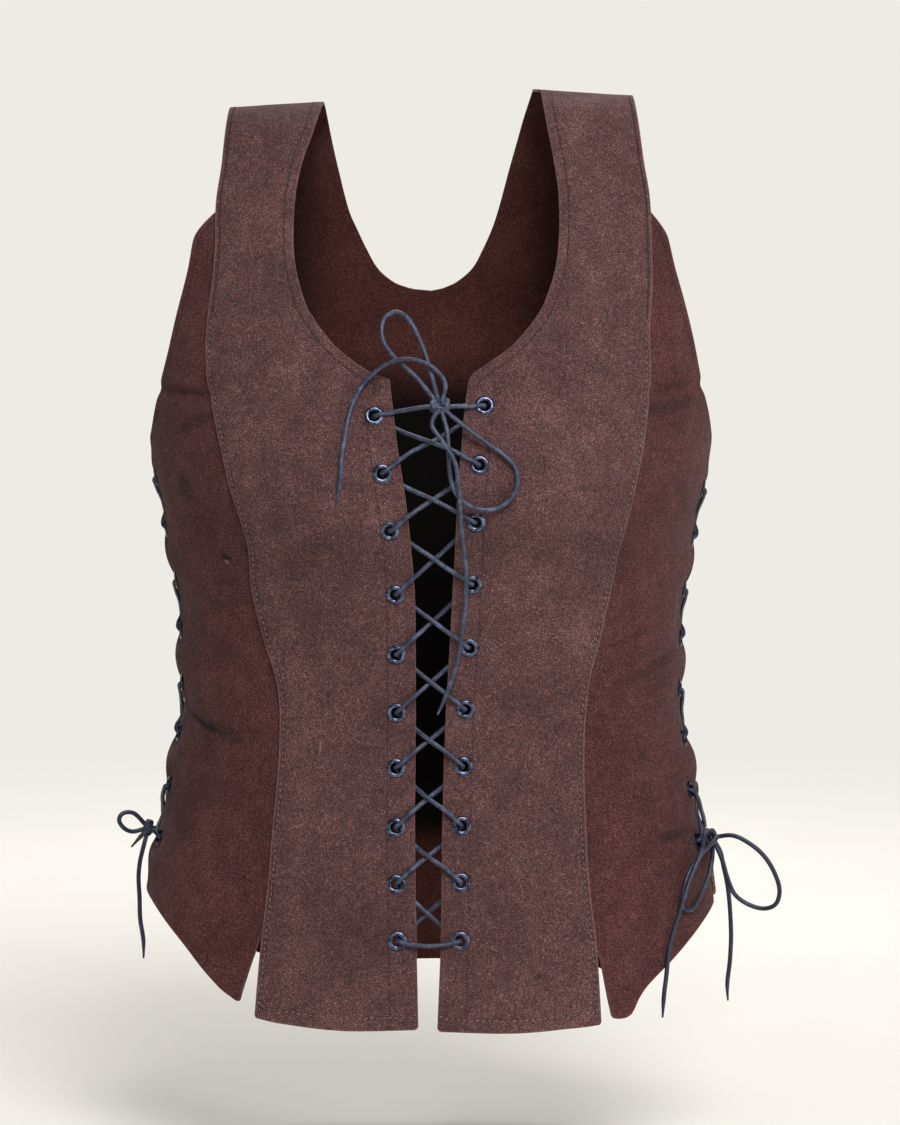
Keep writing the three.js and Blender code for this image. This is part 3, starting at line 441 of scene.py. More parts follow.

# The sewn grooves and the worn edges of each kind of panel. A groove, darkened by pressed nap and
# painted shadow, has its edge, its distance from it, half its width, its strength and the drop where it
# starts. A worn edge, paled by wear and a painted highlight, has its name, the width of the pale band
# and its strength.
ANYWHERE = -1.0
LAP_GROOVE = ("outer", LAP_STITCH, 0.0012, 0.6, ANYWHERE)
HEM_GROOVE = ("hem", HEM_STITCH, 0.0011, 0.3, 0.3)
LAP_WEAR_AND_HIGHLIGHT, HEM_WEAR_AND_HIGHLIGHT = ("outer", 0.0009, 0.4), ("hem", 0.0008, 0.3)
SEWN_EDGES = {
    "front_centre": (
        [
            LAP_GROOVE,
            ("open", NECK_STITCH, 0.0011, 0.35, ANYWHERE),
            ("inner", FACING_STITCH, 0.0016, 0.1, 0.172),
            HEM_GROOVE,
        ],
        [LAP_WEAR_AND_HIGHLIGHT, ("inner", 0.0006, 0.2), HEM_WEAR_AND_HIGHLIGHT],
    ),
    "back_centre": (
        [LAP_GROOVE, ("open", BACK_NECK_STITCH, 0.0011, 0.35, ANYWHERE), HEM_GROOVE],
        [LAP_WEAR_AND_HIGHLIGHT, HEM_WEAR_AND_HIGHLIGHT],
    ),
}
SEWN_SIDE = (
    [
        ("open", ARMHOLE_STITCH, 0.0011, 0.35, ANYWHERE),
        ("outer", SIDE_FACING_STITCH, 0.0014, 0.12, 0.21),
    ],
    [("outer", 0.0008, 0.3), HEM_WEAR_AND_HIGHLIGHT, ("inner", 0.0008, 0.3)],
)

# Each panel's cut size, width by length, and its flat area.
PANEL_SIZES = {
    "front_centre_right": ((0.13, 0.57), 0.0479),
    "front_centre_left": ((0.13, 0.57), 0.0495),
    "front_side_right": ((0.13, 0.49), 0.038),
    "front_side_left": ((0.13, 0.49), 0.0377),
    "back_side_right": ((0.13, 0.49), 0.0407),
    "back_side_left": ((0.13, 0.49), 0.0432),
    "back_centre": ((0.27, 0.57), 0.0996),
}
PANEL_SLOTS = {"front_centre": "leather_front", "back_centre": "leather_back"}
SIDE_SLOT = "leather_side"
# Where a panel's UV maps hold the distance from each of its edges.
EDGE_MARKS = {
    "inner": ("edges", 0), "outer": ("edges", 1), "hem": ("ends", 0), "open": ("ends", 1),
}

# ---------------------------------------------------------------- reading the tables

SIDES = {-1: "right", 1: "left"}


def bell(x):
    """1 at the middle, dying out on both sides."""
    return np.exp(-x * x)


def smoothstep(x, low, high):
    """From 0 below a range to 1 above it, smoothly."""
    share = np.clip((x - low) / (high - low), 0, 1)
    return share * share * (3 - 2 * share)


def eased(t, start, end, leaving, arriving):
    """A cubic from one value to another, with its slopes at both, at shares of the way."""
    return (
        ((2 * t - 3) * t * t + 1) * start
        + ((t - 2) * t + 1) * t * leaving
        + (3 - 2 * t) * t * t * end
        + (t - 1) * t * t * arriving
    )


def read(rows, at, column, key="drop"):
    """The value in one column of a table, on a smooth curve through its rows."""
    keys, values = rows[key], rows[column]
    last = len(keys) - 1
    before, after = np.maximum(np.arange(-1, last), 0), np.minimum(np.arange(1, last + 2), last)
    slope = (values[after] - values[before]) / (keys[after] - keys[before])
    at = np.clip(at, keys[0], keys[last])
    i = np.clip(np.searchsorted(keys, at) - 1, 0, last - 1)
    step = keys[i + 1] - keys[i]
    t = (at - keys[i]) / step
    return eased(t, values[i], values[i + 1], step * slope[i], step * slope[i + 1])


# ---------------------------------------------------------------- the form

# A place on the form has a turn, the angle round the body from the front centre towards +X,
# and a run, the length down the leather from the shoulder seam. Over the shoulder the run
# follows a round of radius ARCH, and below it goes straight down.
ARCH_RUN = ARCH * math.pi / 2
SMALL_TURN = 0.01  # steps to either side, from which the outward direction is reckoned
SMALL_RUN = 0.001


def drop_of(run):
    return np.where(run < ARCH_RUN, ARCH * (1 - np.cos(run / ARCH)), ARCH + run - ARCH_RUN)


def run_of(drop):
    bent = ARCH * np.arccos(1 - np.minimum(drop, ARCH) / ARCH)
    return np.where(np.less(drop, ARCH), bent, drop - ARCH + ARCH_RUN)


def section_at(run):
    """The drop, half width, front and back depths and lean of the section at a run."""
    drop = drop_of(run)
    rounded = np.where(run < ARCH_RUN, np.sin(run / ARCH), 1)
    half, lean = read(FIGURE, drop, "half"), read(FIGURE, drop, "lean")
    return (
        drop,
        half,
        rounded * read(FIGURE, drop, "front"),
        rounded * read(FIGURE, drop, "back"),
        lean,
    )


def on_form(turn, run):
    """The place at a turn and a run, on the leather's inside face."""
    drop, half, front, back, lean = section_at(run)
    sine, cosine = np.sin(turn), np.cos(turn)
    x = half * np.sign(sine) * np.abs(sine) ** (2 / ROUNDNESS)
    depth = np.where(cosine > 0, front, back) * np.abs(cosine) ** (2 / ROUNDNESS)
    bust = bell((np.abs(x) - BUST["across"]) / BUST["wide"])
    bust = bust * bell((drop - BUST["drop"]) / BUST["high"]) * np.maximum(cosine, 0)
    y = lean - np.sign(cosine) * depth - BUST["full"] * bust
    slope = SHOULDER_SLOPE * (np.abs(x) - NECK_HALF) - SHOULDER_TILT * np.clip(x / TILT_REACH, -1, 1)
    z = -drop - slope * np.maximum(0, 1 - drop / SHOULDER_FADE)
    return np.stack(np.broadcast_arrays(x, y, z), axis=-1)


def outward(turn, run):
    """The direction away from the body at a turn and a run."""
    high = on_form(turn, np.maximum(run - SMALL_RUN, 0))
    low = on_form(turn, np.maximum(run, SMALL_RUN / 20) + SMALL_RUN)
    around = on_form(turn + SMALL_TURN, run) - on_form(turn - SMALL_TURN, run)
    normal = np.cross(around, high - low)
    return normal / np.linalg.norm(normal, axis=-1, keepdims=True)


def sunk(folds, points, turn):
    """How far a table's folds sink the leather at some points."""
    depth = 0
    for face, across, drop, long, wide, tilt, deep in zip(*folds.values()):
        along, over = along_and_over(points, across, drop, tilt)
        here = np.sign(np.cos(turn)) == face
        depth = depth + here * deep * bell(along / long) * bell(over / wide)
    return depth


def along_and_over(points, across, drop, tilt):
    """Distances along and above a slanted line that goes through a place, seen from the front."""
    dx, dz = points[..., 0] - across, points[..., 2] + drop
    sine, cosine = math.sin(math.radians(tilt)), math.cos(math.radians(tilt))
    return dx * cosine + dz * sine, dz * cosine - dx * sine


def darted(points, turn):
    """How far the bust darts lift the leather."""
    height = 0
    for across, drop, long, tilt in zip(*DARTS.values()):
        along, over = along_and_over(points, across, drop, tilt)
        ridge = DART["ridge"] * bell((over - DART["wide"]) / DART["wide"])
        below = DART["sunk"] * bell((over + DART["below"]) / DART["below"])
        height = height + (np.cos(turn) > 0) * (ridge - below) * bell(along / long) ** 2
    return height


def place(turn, run, out):
    """A point at a distance out from the leather's inside face."""
    turn, run, out = np.broadcast_arrays(turn, run, out)
    point = on_form(turn, run)
    return point + outward(turn, run) * (out - sunk(FOLDS, point, turn))[..., None]


def turn_across(across, run, face=1):
    """The turn at which the form at a run is a given distance across, on the front or back."""
    share = np.clip(np.abs(across) / section_at(run)[1], 0, 1)
    turn = np.arcsin(share ** (ROUNDNESS / 2))
    return np.where(np.less(across, 0), -1, 1) * (turn if face > 0 else math.pi - turn)


def turn_at_depth(y, run, side):
    """The turn at which the form at a run has a given Y."""
    _, _, front, back, lean = section_at(run)
    depth = lean - y
    share = np.clip(np.abs(depth) / np.where(depth > 0, front, back), 0, 1)
    turn = np.arccos(share ** (ROUNDNESS / 2))
    return side * np.where(depth > 0, turn, math.pi - turn)


# ---------------------------------------------------------------- the panels' edges

# Each edge gives the turn of one panel edge at a run. side is -1 for the wearer's right.
# face is 1 for the front and -1 for the back.


def front_edge(side, run):
    drop, name = drop_of(run), SIDES[side]
    neck, edge = read(FRONT_NECK, drop, name), read(FRONT_EDGE, drop, name)
    return turn_across(side * np.where(drop < FRONT_EDGE["drop"][0], neck, edge), run)


def back_edge(side, run):
    return side * turn_across(read(BACK_NECK, drop_of(run), SIDES[side]), run, -1)


def princess(side, face, run, inset=0):
    """The princess line, moved towards the centre by inset."""
    rows = FRONT_PRINCESS if face > 0 else BACK_PRINCESS
    return turn_across(side * (read(rows, drop_of(run), SIDES[side]) - inset), run, face)


def ripple(side, drop):
    """1 where the leather bulges between two crossings on the outside, -1 under a crossing."""
    rows = (drop - SIDE_FIRST[SIDES[side]]) / SIDE_PITCH[SIDES[side]]
    fade = smoothstep(rows, -0.6, 0.2) * (1 - smoothstep(rows, SIDE_ROWS - 1, SIDE_ROWS))
    wave = -np.cos(math.pi * (rows - 0.5))
    return np.where(wave > 0, wave, SHALLOW * wave) * fade


def side_edge(side, face, run, inset=0):
    """The armhole and, below it, the scalloped edge of the side lacing."""
    drop, name = drop_of(run), SIDES[side]
    upper, lower = (
        (FRONT_ARMHOLE, FRONT_SIDE_EDGE) if face > 0 else (BACK_ARMHOLE, BACK_SIDE_EDGE)
    )
    below = drop >= ARMHOLE_END
    depth = np.where(below, read(lower, drop, name), read(upper, drop, name))
    depth = depth + TUCK * (1 - smoothstep(drop, ARMHOLE_TOP, TUCK_END))
    return turn_at_depth(-face * (depth - SCALLOP * ripple(side, drop) * below + inset), run, side)


def slit_at(side, run):
    """How far a side panel's inner edge stands off its lapped line."""
    return read(SLIT, drop_of(run), SIDES[side])


# ---------------------------------------------------------------- leather panels

# Rows of faces lie closer together near sharp turns of an edge, and columns near the edges.
CLOSE = {"reach": 0.007, "share": 0.35}
EDGE_CELLS = (0, 0.0007, 0.0016, 0.003)
EDGE_END = 0.005
# Crossed waves of unevenness: radians to a metre along X, Y and Z, and where each starts.
SWELLS = ((61, 0, 23, 1.3), (-31, 29, 47, 0), (137, 0, -71, 2.1), (59, 83, 113, 0.7))
SHORT_SHARE = 0.4  # of the short waves beside the wide ones
EDGE_ROUND = 0.00045  # radius of the leather's cut edges
SHARP = math.radians(60)  # edges that bend by more than this are rounded
FACE_DEPTH = 0.02  # points further off than this along an eyelet's axis are on another face


def distance_to(points, line):
    """How far each point lies from a line of short straight pieces."""
    start, step = line[:-1], np.diff(line, axis=0)
    length = (step * step).sum(axis=-1)
    flat = points.reshape(-1, 3)
    nearest = np.full(len(flat), np.inf)
    for a, ab, size in zip(start, step, length):
        away = flat - a
        share = np.clip(away @ ab / max(size, 1e-12), 0, 1)[:, None]
        nearest = np.minimum(nearest, np.linalg.norm(away - share * ab, axis=1))
    return nearest.reshape(points.shape[:-1])


def rows_down_to(top, close, cell):
    """Runs from the hem up to a drop, a cell apart, and closer together near some drops."""
    end, run, rows = max(float(run_of(top)), SHOULDER_GAP / 2), float(run_of(HEM)), []
    while run > end + cell / 3:
        rows.append(run)
        near = min([abs(float(drop_of(run)) - drop) for drop in close])
        run -= cell * (CLOSE["share"] if near < CLOSE["reach"] else 1)
    return np.array([*rows, end])[:, None]


def shares_across(width, cell):
    """Shares of a panel's width, close together near its edges and a cell apart between."""
    near, last = np.array(EDGE_CELLS) / width, EDGE_END / width
    middle = np.linspace(last, 1 - last, round(width / cell))
    return np.concatenate([near, middle, 1 - near[::-1]])[None, :]


def unevenness(points):
    """The slight unevenness of soft leather, as shares of its height."""
    wide, crosswise, short, slanted = (np.sin(points @ rates + start) for *rates, start in SWELLS)
    return wide * crosswise + SHORT_SHARE * short * slanted


class Cut:
    """A leather panel laid on the form.

    Its arrays have a row for each line across the panel, from the hem up, and a column for each
    line along it, from the inner edge to the outer.
    """

    def __init__(self, fineness, side, face, inner, outer, hem, lift, close, opening, top=0.0):
        self.side, self.face = side, face
        cell, waves = fineness
        base = rows_down_to(top, close, cell)
        level = on_form(inner(base), base), on_form(outer(base), base)
        width = float(np.linalg.norm(level[0] - level[1], axis=-1).mean())
        share = shares_across(width, cell)
        corner = (1 - share if hem is BACK_HEM else np.minimum(share, 1 - share)) * width
        rounded = CORNER - np.sqrt(CORNER**2 - np.maximum(CORNER - corner, 0) ** 2)
        fall = read(hem, share, SIDES[side], "along") - rounded
        self.run = base + fall * smoothstep(drop_of(base), HEM - LEVEL_BAND, HEM)
        self.turn = inner(self.run) + share * (outer(self.run) - inner(self.run))
        bare = on_form(self.turn, self.run)
        where, low, high = opening
        column = bare[:, 0 if where == "inner" else -1]
        drops = drop_of(self.run[:, 0])
        borders = {
            "inner": bare[:, 0],
            "outer": bare[:, -1],
            "hem": bare[0],
            "open": column[(drops >= low) & (drops <= high)],
        }
        self.far = {name: distance_to(bare, line) for name, line in borders.items()}
        self.marks = {
            "edges": np.stack([self.far["inner"], self.far["outer"]], axis=-1),
            "ends": np.stack([self.far["hem"], self.far["open"]], axis=-1),
        }
        self.normals = outward(self.turn, self.run)
        height = WALL + lift(self) - sunk(FOLDS, bare, self.turn) - sunk(CREASES, bare, self.turn)
        height = height + darted(bare, self.turn) + waves * unevenness(bare)
        self.points = bare + self.normals * height[..., None]

    def seat(self, turn, run):
        """Flattens the leather under an eyelet, and gives the eyelet's place and axis."""
        bare, axis = on_form(np.array(turn), np.array(run)), outward(np.array(turn), np.array(run))
        offset = self.points - bare
        height = offset @ axis
        away = np.linalg.norm(offset - height[..., None] * axis, axis=-1) + 9 * (height > FACE_DEPTH)
        level = np.average(height, weights=bell(away / (SEAT / 2))) - DIMPLE
        flat = 1 - smoothstep(away, SEAT, 2 * SEAT)
        self.points = self.points + axis * (flat * (level - height))[..., None]
        return Vector(bare + axis * level), Vector(axis)

    def line(self, edge, inset, top=0.0, end=1.0):
        """A line at a distance from an edge, as rows of points and normals side by side."""
        far = self.far[edge]
        both = np.concatenate([self.points, self.normals], axis=-1)
        if edge == "hem":
            far, both = far.T, both.transpose(1, 0, 2)
        elif edge != "inner":
            far, both = far[:, ::-1], both[:, ::-1]
        over = far - inset
        crossed = over[:, :-1] * over[:, 1:] < 0
        rows = np.flatnonzero(crossed.any(axis=1))
        at = crossed.argmax(axis=1)[rows]
        share = (over[rows, at] / (over[rows, at] - over[rows, at + 1]))[:, None]
        found = both[rows, at] * (1 - share) + both[rows, at + 1] * share
        drop = -found[:, 2]
        return found[(drop >= top) & (drop <= end)]


def lap_lift(cut):
    """A centre panel's outer edge lies on its side panel."""
    lapped = princess(cut.side, cut.face, cut.run, LAP)
    edge = princess(cut.side, cut.face, cut.run)
    share = (cut.turn - lapped) / (edge - lapped)
    below = smoothstep(drop_of(cut.run), LAP_START, ARMHOLE_TOP)
    return LAP_LIFT * below * smoothstep(share, -LAP_REACH, 0)


def side_lift(cut):
    """A side panel's outer edge ripples at the lacing, and its slit edge is turned."""
    seam = princess(cut.side, cut.face, cut.run, -slit_at(cut.side, cut.run))
    edge = side_edge(cut.side, cut.face, cut.run)
    drop = drop_of(cut.run)
    near = smoothstep((cut.turn - seam) / (edge - seam), RIPPLE_START, 1)
    rippled = near * RIPPLE_HEIGHT * ripple(cut.side, drop) * (drop >= ARMHOLE_END)
    fold = bell(cut.marks["edges"][..., 0] / TURNED_EDGE["wide"])
    return rippled + TURNED_EDGE["high"] * fold * smoothstep(drop, TURNED_EDGE["top"], HEM)


def front_centre_cut(fineness, side):
    return Cut(
        fineness, side, 1,
        lambda run: front_edge(side, run),
        lambda run: princess(side, 1, run),
        CENTRE_HEM, lap_lift, close=(0.166,), opening=("inner", 0, NECK_END),
    )


def back_half_cut(fineness, side):
    return Cut(
        fineness, side, -1,
        lambda run: back_edge(side, run),
        lambda run: princess(side, -1, run),
        BACK_HEM, lap_lift, close=(0.118,), opening=("inner", 0, BACK_NECK_END),
    )


def side_cut(fineness, side, face):
    return Cut(
        fineness, side, face,
        lambda run: princess(side, face, run, LAP - slit_at(side, run)),
        lambda run: side_edge(side, face, run),
        SIDE_HEM, side_lift, top=ARMHOLE_TOP, close=(0.174, 0.206), opening=("outer", 0, ARMHOLE_END),
    )


def lay_panels():
    """Every leather panel: its cuts, and the places and axes of its eyelets."""
    leather = bpy.context.scene.bodice_leather
    return panels_of((leather.cell, leather.waves))


@functools.lru_cache(maxsize=1)
def panels_of(fineness):
    panels = {}
    for side, name in SIDES.items():
        front = front_centre_cut(fineness, side)
        seats = [front.seat(*front_eyelet(side, row)[:2]) for row in range(FRONT_ROW_COUNT)]
        panels["front_centre_" + name] = [front], seats
        for face, label in ((1, "front_side_"), (-1, "back_side_")):
            cut = side_cut(fineness, side, face)
            seats = [cut.seat(*side_eyelet(side, face, row)[:2]) for row in range(SIDE_ROWS)]
            panels[label + name] = [cut], seats
    panels["back_centre"] = [back_half_cut(fineness, side) for side in SIDES], []
    return panels


# ---------------------------------------------------------------- making pieces


def add_grid(bm, points, marks, normals=None):
    """Lays a grid of faces through an array of points, with marks as its UV maps."""
    rows, columns = points.shape[:2]
    made = bmesh.ops.create_grid(bm, x_segments=columns - 1, y_segments=rows - 1, size=0.5)
    cells = {}
    for vert in made["verts"]:
        column = round((vert.co.x + 0.5) * (columns - 1))
        row = round((vert.co.y + 0.5) * (rows - 1))
        cells[vert] = (row, column)
        vert.co = points[row, column]
    faces = list({face for vert in made["verts"] for face in vert.link_faces})
    for name, values in marks.items():
        layer = bm.loops.layers.uv.get(name) or bm.loops.layers.uv.new(name)
        for face in faces:
            for loop in face.loops:
                loop[layer].uv = values[cells[loop.vert]]
    if normals is not None:
        faces[0].normal_update()
        if faces[0].normal.dot(Vector(normals[cells[faces[0].verts[0]]])) < 0:
            bmesh.ops.reverse_faces(bm, faces=faces)
    return made["verts"]


def add_piece(name, bm, materials, slot, replaced=()):
    """Makes a finished piece of a bmesh, which rides on the garment's one body."""
    mesh = bpy.data.meshes.new(name)
    bm.to_mesh(mesh)
    bm.free()
    for material in materials:
        mesh.materials.append(material)
    mesh.shade_smooth()
    piece = bpy.data.objects.new(name, mesh)
    bpy.context.scene.collection.objects.link(piece)
    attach(piece, BODY)
    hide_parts(*replaced)
    return piece


def punch(bm, holes):
    """Opens round holes at places on a panel, each given by its middle and axis."""
    reach = HOLE_RADIUS + 1.6 * bpy.context.scene.bodice_leather.cell
    for middle, axis in holes:
        inside = [v for v in bm.verts if (v.co - middle).length < 0.9 * HOLE_RADIUS]
        bmesh.ops.delete(bm, geom=inside, context="VERTS")
        for vert in bm.verts:
            if vert.is_boundary and (vert.co - middle).length < reach:
                away = vert.co - middle
                height = away.dot(axis)
                away -= axis * height
                vert.co = middle + axis * height + away.normalized() * HOLE_RADIUS


def leather_piece(node, cuts, seats):
    """A panel of one or two cuts: its outer face as a grid, given its thickness inwards."""
    bm = bmesh.new()
    for cut in cuts:
        add_grid(bm, cut.points, cut.marks, cut.normals)
    bmesh.ops.remove_doubles(bm, verts=bm.verts, dist=1e-5)
    punch(bm, seats)
    hidden = made_once("Suede inside", make_inside), made_once("Cut edge", make_cut_edge)
    materials = [outside_material(node), *hidden]
    piece = add_piece("suede_" + node, bm, materials, slot_of(node), [node])
    wall = piece.modifiers.new("Thickness", "SOLIDIFY")
    wall.thickness = WALL
    wall.offset = -1
    wall.material_offset = 1
    wall.material_offset_rim = 2
    rim = piece.modifiers.new("Cut edge", "BEVEL")
    rim.width = EDGE_ROUND
    rim.segments = 2
    rim.limit_method = "ANGLE"
    rim.angle_limit = SHARP
    rim.harden_normals = True
    flat, area = PANEL_SIZES[node]


def slot_of(node):
    """The record's material slot of a leather panel."""
    return next((slot for key, slot in PANEL_SLOTS.items() if node.startswith(key)), SIDE_SLOT)


def add_eyelet(bm, middle, axis):
    """Spins the eyelet's section round its axis."""
    side = axis.orthogonal().normalized()
    rim = [
        bm.verts.new(middle + side * radius + axis * height)
        for radius, height in zip(*EYELET_SECTION.values())
    ]
    edges = [bm.edges.new(pair) for pair in zip(rim, rim[1:] + rim[:1])]
    bmesh.ops.spin(
        bm, geom=rim + edges, cent=middle, axis=axis, dvec=(0, 0, 0), angle=2 * math.pi,
        steps=EYELET_STEPS, use_merge=True, use_normal_flip=False, use_duplicate=False,
    )


def set_eyelets(name, seats, metal, replaced=()):
    """Makes one piece of the eyelets in some seats."""
    bm = bmesh.new()
    for middle, axis in seats:
        add_eyelet(bm, middle, axis)
    bmesh.ops.recalc_face_normals(bm, faces=bm.faces)
    add_piece(name, bm, [metal], "eyelet", replaced)


# ---------------------------------------------------------------- eyelets and laces


def front_row_run(side, row):
    return run_of(FRONT_ROWS[SIDES[side]][row])


def front_eyelet(side, row):
    """The turn, run and lift of a front eyelet."""
    run = front_row_run(side, row)
    edge = read(FRONT_EDGE, drop_of(run), SIDES[side])
    return turn_across(side * (edge + FRONT_INSET), run), run, 0.0


def side_eyelet(side, face, row):
    drop = SIDE_FIRST[SIDES[side]] + row * SIDE_PITCH[SIDES[side]]
    run = run_of(drop)
    return side_edge(side, face, run, SIDE_INSET), run, 0.5 * RIPPLE_HEIGHT * ripple(side, drop)


def crossing(start, end, leave, across, arrive, over, sag=0.0):
    """The lace from one eyelet to the next: out of the first, over the gap, into the second."""
    length = np.linalg.norm(place(*start[:2], 0) - place(*end[:2], 0))
    stops = [(0, WALL / 2)]
    stops += [(along / length, out) for along, out in zip(*leave.values())]
    stops += [(share, out + over * apart) for share, out, apart in zip(*across.values())]
    if arrive:
        into = [(1 - along / length, out) for along, out in zip(*arrive.values())]
        stops += into[::-1]
    share, out = np.array(stops).T
    turn, run, lift = (a + share * (b - a) for a, b in zip(start, end))
    return list(place(turn, run + sag * 4 * share * (1 - share), out + lift))


def front_strand(side):
    """One strand of the front lacing from the lowest row up, starting on one side."""
    last = FRONT_ROW_COUNT - 1
    lowest = front_eyelet(side, last), front_eyelet(-side, last - 1)
    path = crossing(*lowest, LEAVE_INSIDE, ACROSS_INSIDE, LEAVE_INSIDE, side)
    at = -side
    for row in range(last - 1, 0, -1):
        pair = front_eyelet(at, row), front_eyelet(-at, row - 1)
        path += crossing(*pair, LEAVE_OUTSIDE, DIVE, LEAVE_INSIDE, at)
        at = -at
    turn, run = knot_end(at)
    path += crossing(front_eyelet(at, 0), (turn, run, 0.0), LEAVE_OUTSIDE, TO_KNOT, None, 0)
    return [*path, place(turn, run, FRONT_KNOT["out"]), into_knot(front_knot(), path[-1])]


def knot_end(side):
    run = run_of(FRONT_KNOT["drop"])
    return turn_across(FRONT_KNOT["across"] + side * (FRONT_KNOT["half"][0] + SEAM_GAP), run), run


def front_lacing_route():
    last = FRONT_ROW_COUNT - 1
    ends = front_eyelet(-1, last), front_eyelet(1, last)
    bar = crossing(*ends, LEAVE_OUTSIDE, LOWEST_BAR, LEAVE_OUTSIDE, 0, SAG)[1:]
    return [*front_strand(-1)[::-1], *bar, *front_strand(1)]


def side_strand(side, face):
    """One strand of a side lacing from the top row down, starting on one face."""
    path, at = [], face
    for row in range(SIDE_ROWS - 1):
        leave, across = (
            (LEAVE_OUTSIDE, ACROSS_OUTSIDE) if row % 2 == 0 else (LEAVE_INSIDE, ACROSS_INSIDE)
        )
        pair = side_eyelet(side, at, row), side_eyelet(side, -at, row + 1)
        path += crossing(*pair, leave, across, leave, at)
        at = -at
    return path


def side_end(side, face):
    """Below the last row each end turns round its panel's edge and comes out to the knot."""
    _, run, lift = side_eyelet(side, face, SIDE_ROWS - 1)
    route = [
        place(side_edge(side, face, run, across), run, out + lift)
        for across, out in zip(*ROUND_EDGE.values())
    ]
    return [*route, into_knot(side_knot(side), route[-1])]


def side_lacing_route(side):
    tops = side_eyelet(side, 1, 0), side_eyelet(side, -1, 0)
    bar = crossing(*tops, LEAVE_INSIDE, TOP_BAR, LEAVE_INSIDE, 0)
    # A strand crosses to the other face each row, so it ends on the face opposite its start.
    before = side_strand(side, 1) + side_end(side, -1)
    after = side_strand(side, -1) + side_end(side, 1)
    return [*before[::-1], *bar[1:], *after]


def on_front(row):
    across, drop, out = row
    run = run_of(drop)
    return place(turn_across(across, run), run, out)


def on_side(side, row):
    y, drop, out = row
    run = run_of(drop)
    return place(turn_at_depth(y, run, side), run, out)


def front_knot():
    """The middle and half sizes of the front knot."""
    return on_front([FRONT_KNOT[key] for key in ("across", "drop", "out")]), FRONT_KNOT["half"]


def side_knot(side):
    knot = SIDE_KNOTS[SIDES[side]]
    return on_side(side, [knot[key] for key in ("y", "drop", "out")]), knot["half"]


def into_knot(knot, beside):
    """Where a cord that runs through a point ends inside its knot."""
    middle, half = knot
    away = (beside - middle) / np.linalg.norm(beside - middle)
    return middle + away * IN_KNOT / np.linalg.norm(away / half)


ROUTE_STEP = 0.0008  # along a cord
EASING = 10  # times that a free cord's route is smoothed
CORD_SIDES = 12  # faces round a cord
CORD_END = 0.6  # share of its thickness that a cord's end keeps


def smooth_route(points):
    """A centripetal curve through the points of a route, in short steps."""
    points = np.array(points)
    padded = np.vstack([2 * points[0] - points[1], points, 2 * points[-1] - points[-2]])
    gaps = np.sqrt(np.linalg.norm(np.diff(padded, axis=0), axis=1))[:, None]
    rates = np.diff(padded, axis=0) / gaps
    joint = (padded[2:] - padded[:-2]) / (gaps[:-1] + gaps[1:])
    slopes = rates[:-1] - joint + rates[1:]
    route = [points[:1]]
    for i in range(len(points) - 1):
        count = max(1, round(np.linalg.norm(points[i + 1] - points[i]) / ROUTE_STEP))
        t = (np.arange(1, count + 1) / count)[:, None]
        leaving, arriving = slopes[i] * gaps[i + 1], slopes[i + 1] * gaps[i + 1]
        route.append(eased(t, points[i], points[i + 1], leaving, arriving))
    return np.vstack(route)


def relaxed(route):
    """A route with its tightest bends eased."""
    for _ in range(EASING):
        route = np.vstack([route[:1], (route[:-2] + 2 * route[1:-1] + route[2:]) / 4, route[-1:]])
    return route


def add_tube(bm, route, radius, closed=False, tapered=False):
    """A round cord along a route: a grid rolled into a tube, with its ends capped."""
    tangents = np.gradient(np.vstack([route[-2], route, route[1]]) if closed else route, axis=0)
    tangents = tangents[1:-1] if closed else tangents
    tangents /= np.linalg.norm(tangents, axis=1, keepdims=True)
    across = np.array(Vector(tangents[0]).orthogonal().normalized())
    frames = []
    for tangent in tangents:
        across = across - tangent * (across @ tangent)
        across /= np.linalg.norm(across)
        frames.append((across, np.cross(tangent, across)))
    frames = np.array(frames)
    if closed:
        frames[-1] = frames[0]
    angle = np.linspace(0, 2 * math.pi, CORD_SIDES + 1)
    thick = np.full(len(route), radius)
    if not closed:
        thick[[0, -1]] *= CORD_END
    if tapered:
        left = np.linalg.norm(route - route[-1], axis=1)
        thick *= 1 - TIP["thinner"] * (1 - smoothstep(left, 0, TIP["long"]))
    ring = frames[:, :1] * np.cos(angle)[:, None] + frames[:, 1:] * np.sin(angle)[:, None]
    points = route[:, None] + ring * thick[:, None, None]
    along = np.concatenate([[0], np.cumsum(np.linalg.norm(np.diff(route, axis=0), axis=1))])
    around = np.broadcast_to(angle * radius, (len(route), CORD_SIDES + 1))
    marks = np.stack([np.broadcast_to(along[:, None], around.shape), around], axis=-1)
    verts = add_grid(bm, points, {"length": marks})
    bmesh.ops.remove_doubles(bm, verts=verts, dist=1e-6)
    rims = [edge for edge in bm.edges if edge.is_boundary]
    if rims:
        bmesh.ops.holes_fill(bm, edges=rims, sides=0)
    bmesh.ops.recalc_face_normals(bm, faces=bm.faces)


def add_lace(name, route, replaced, tapered=False):
    bm = bmesh.new()
    add_tube(bm, route, bpy.context.scene.bodice_trim.lace / 2, tapered=tapered)
    return add_piece(name, bm, [lace_material("side" in replaced)], "lace", [replaced])


def add_free_cord(node, points, knot):
    """A loop or a tail of a bow."""
    ends = [into_knot(knot, points[0]), *points]
    if "loop" in node:
        ends.append(into_knot(knot, points[-1]))
    route = relaxed(smooth_route(ends))
    piece = add_lace("lace_" + node, route, node, tapered="loop" not in node)
    if node in CORD_LENGTHS:
        "object" if "loop" in node else "bare"
        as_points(route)
    return piece


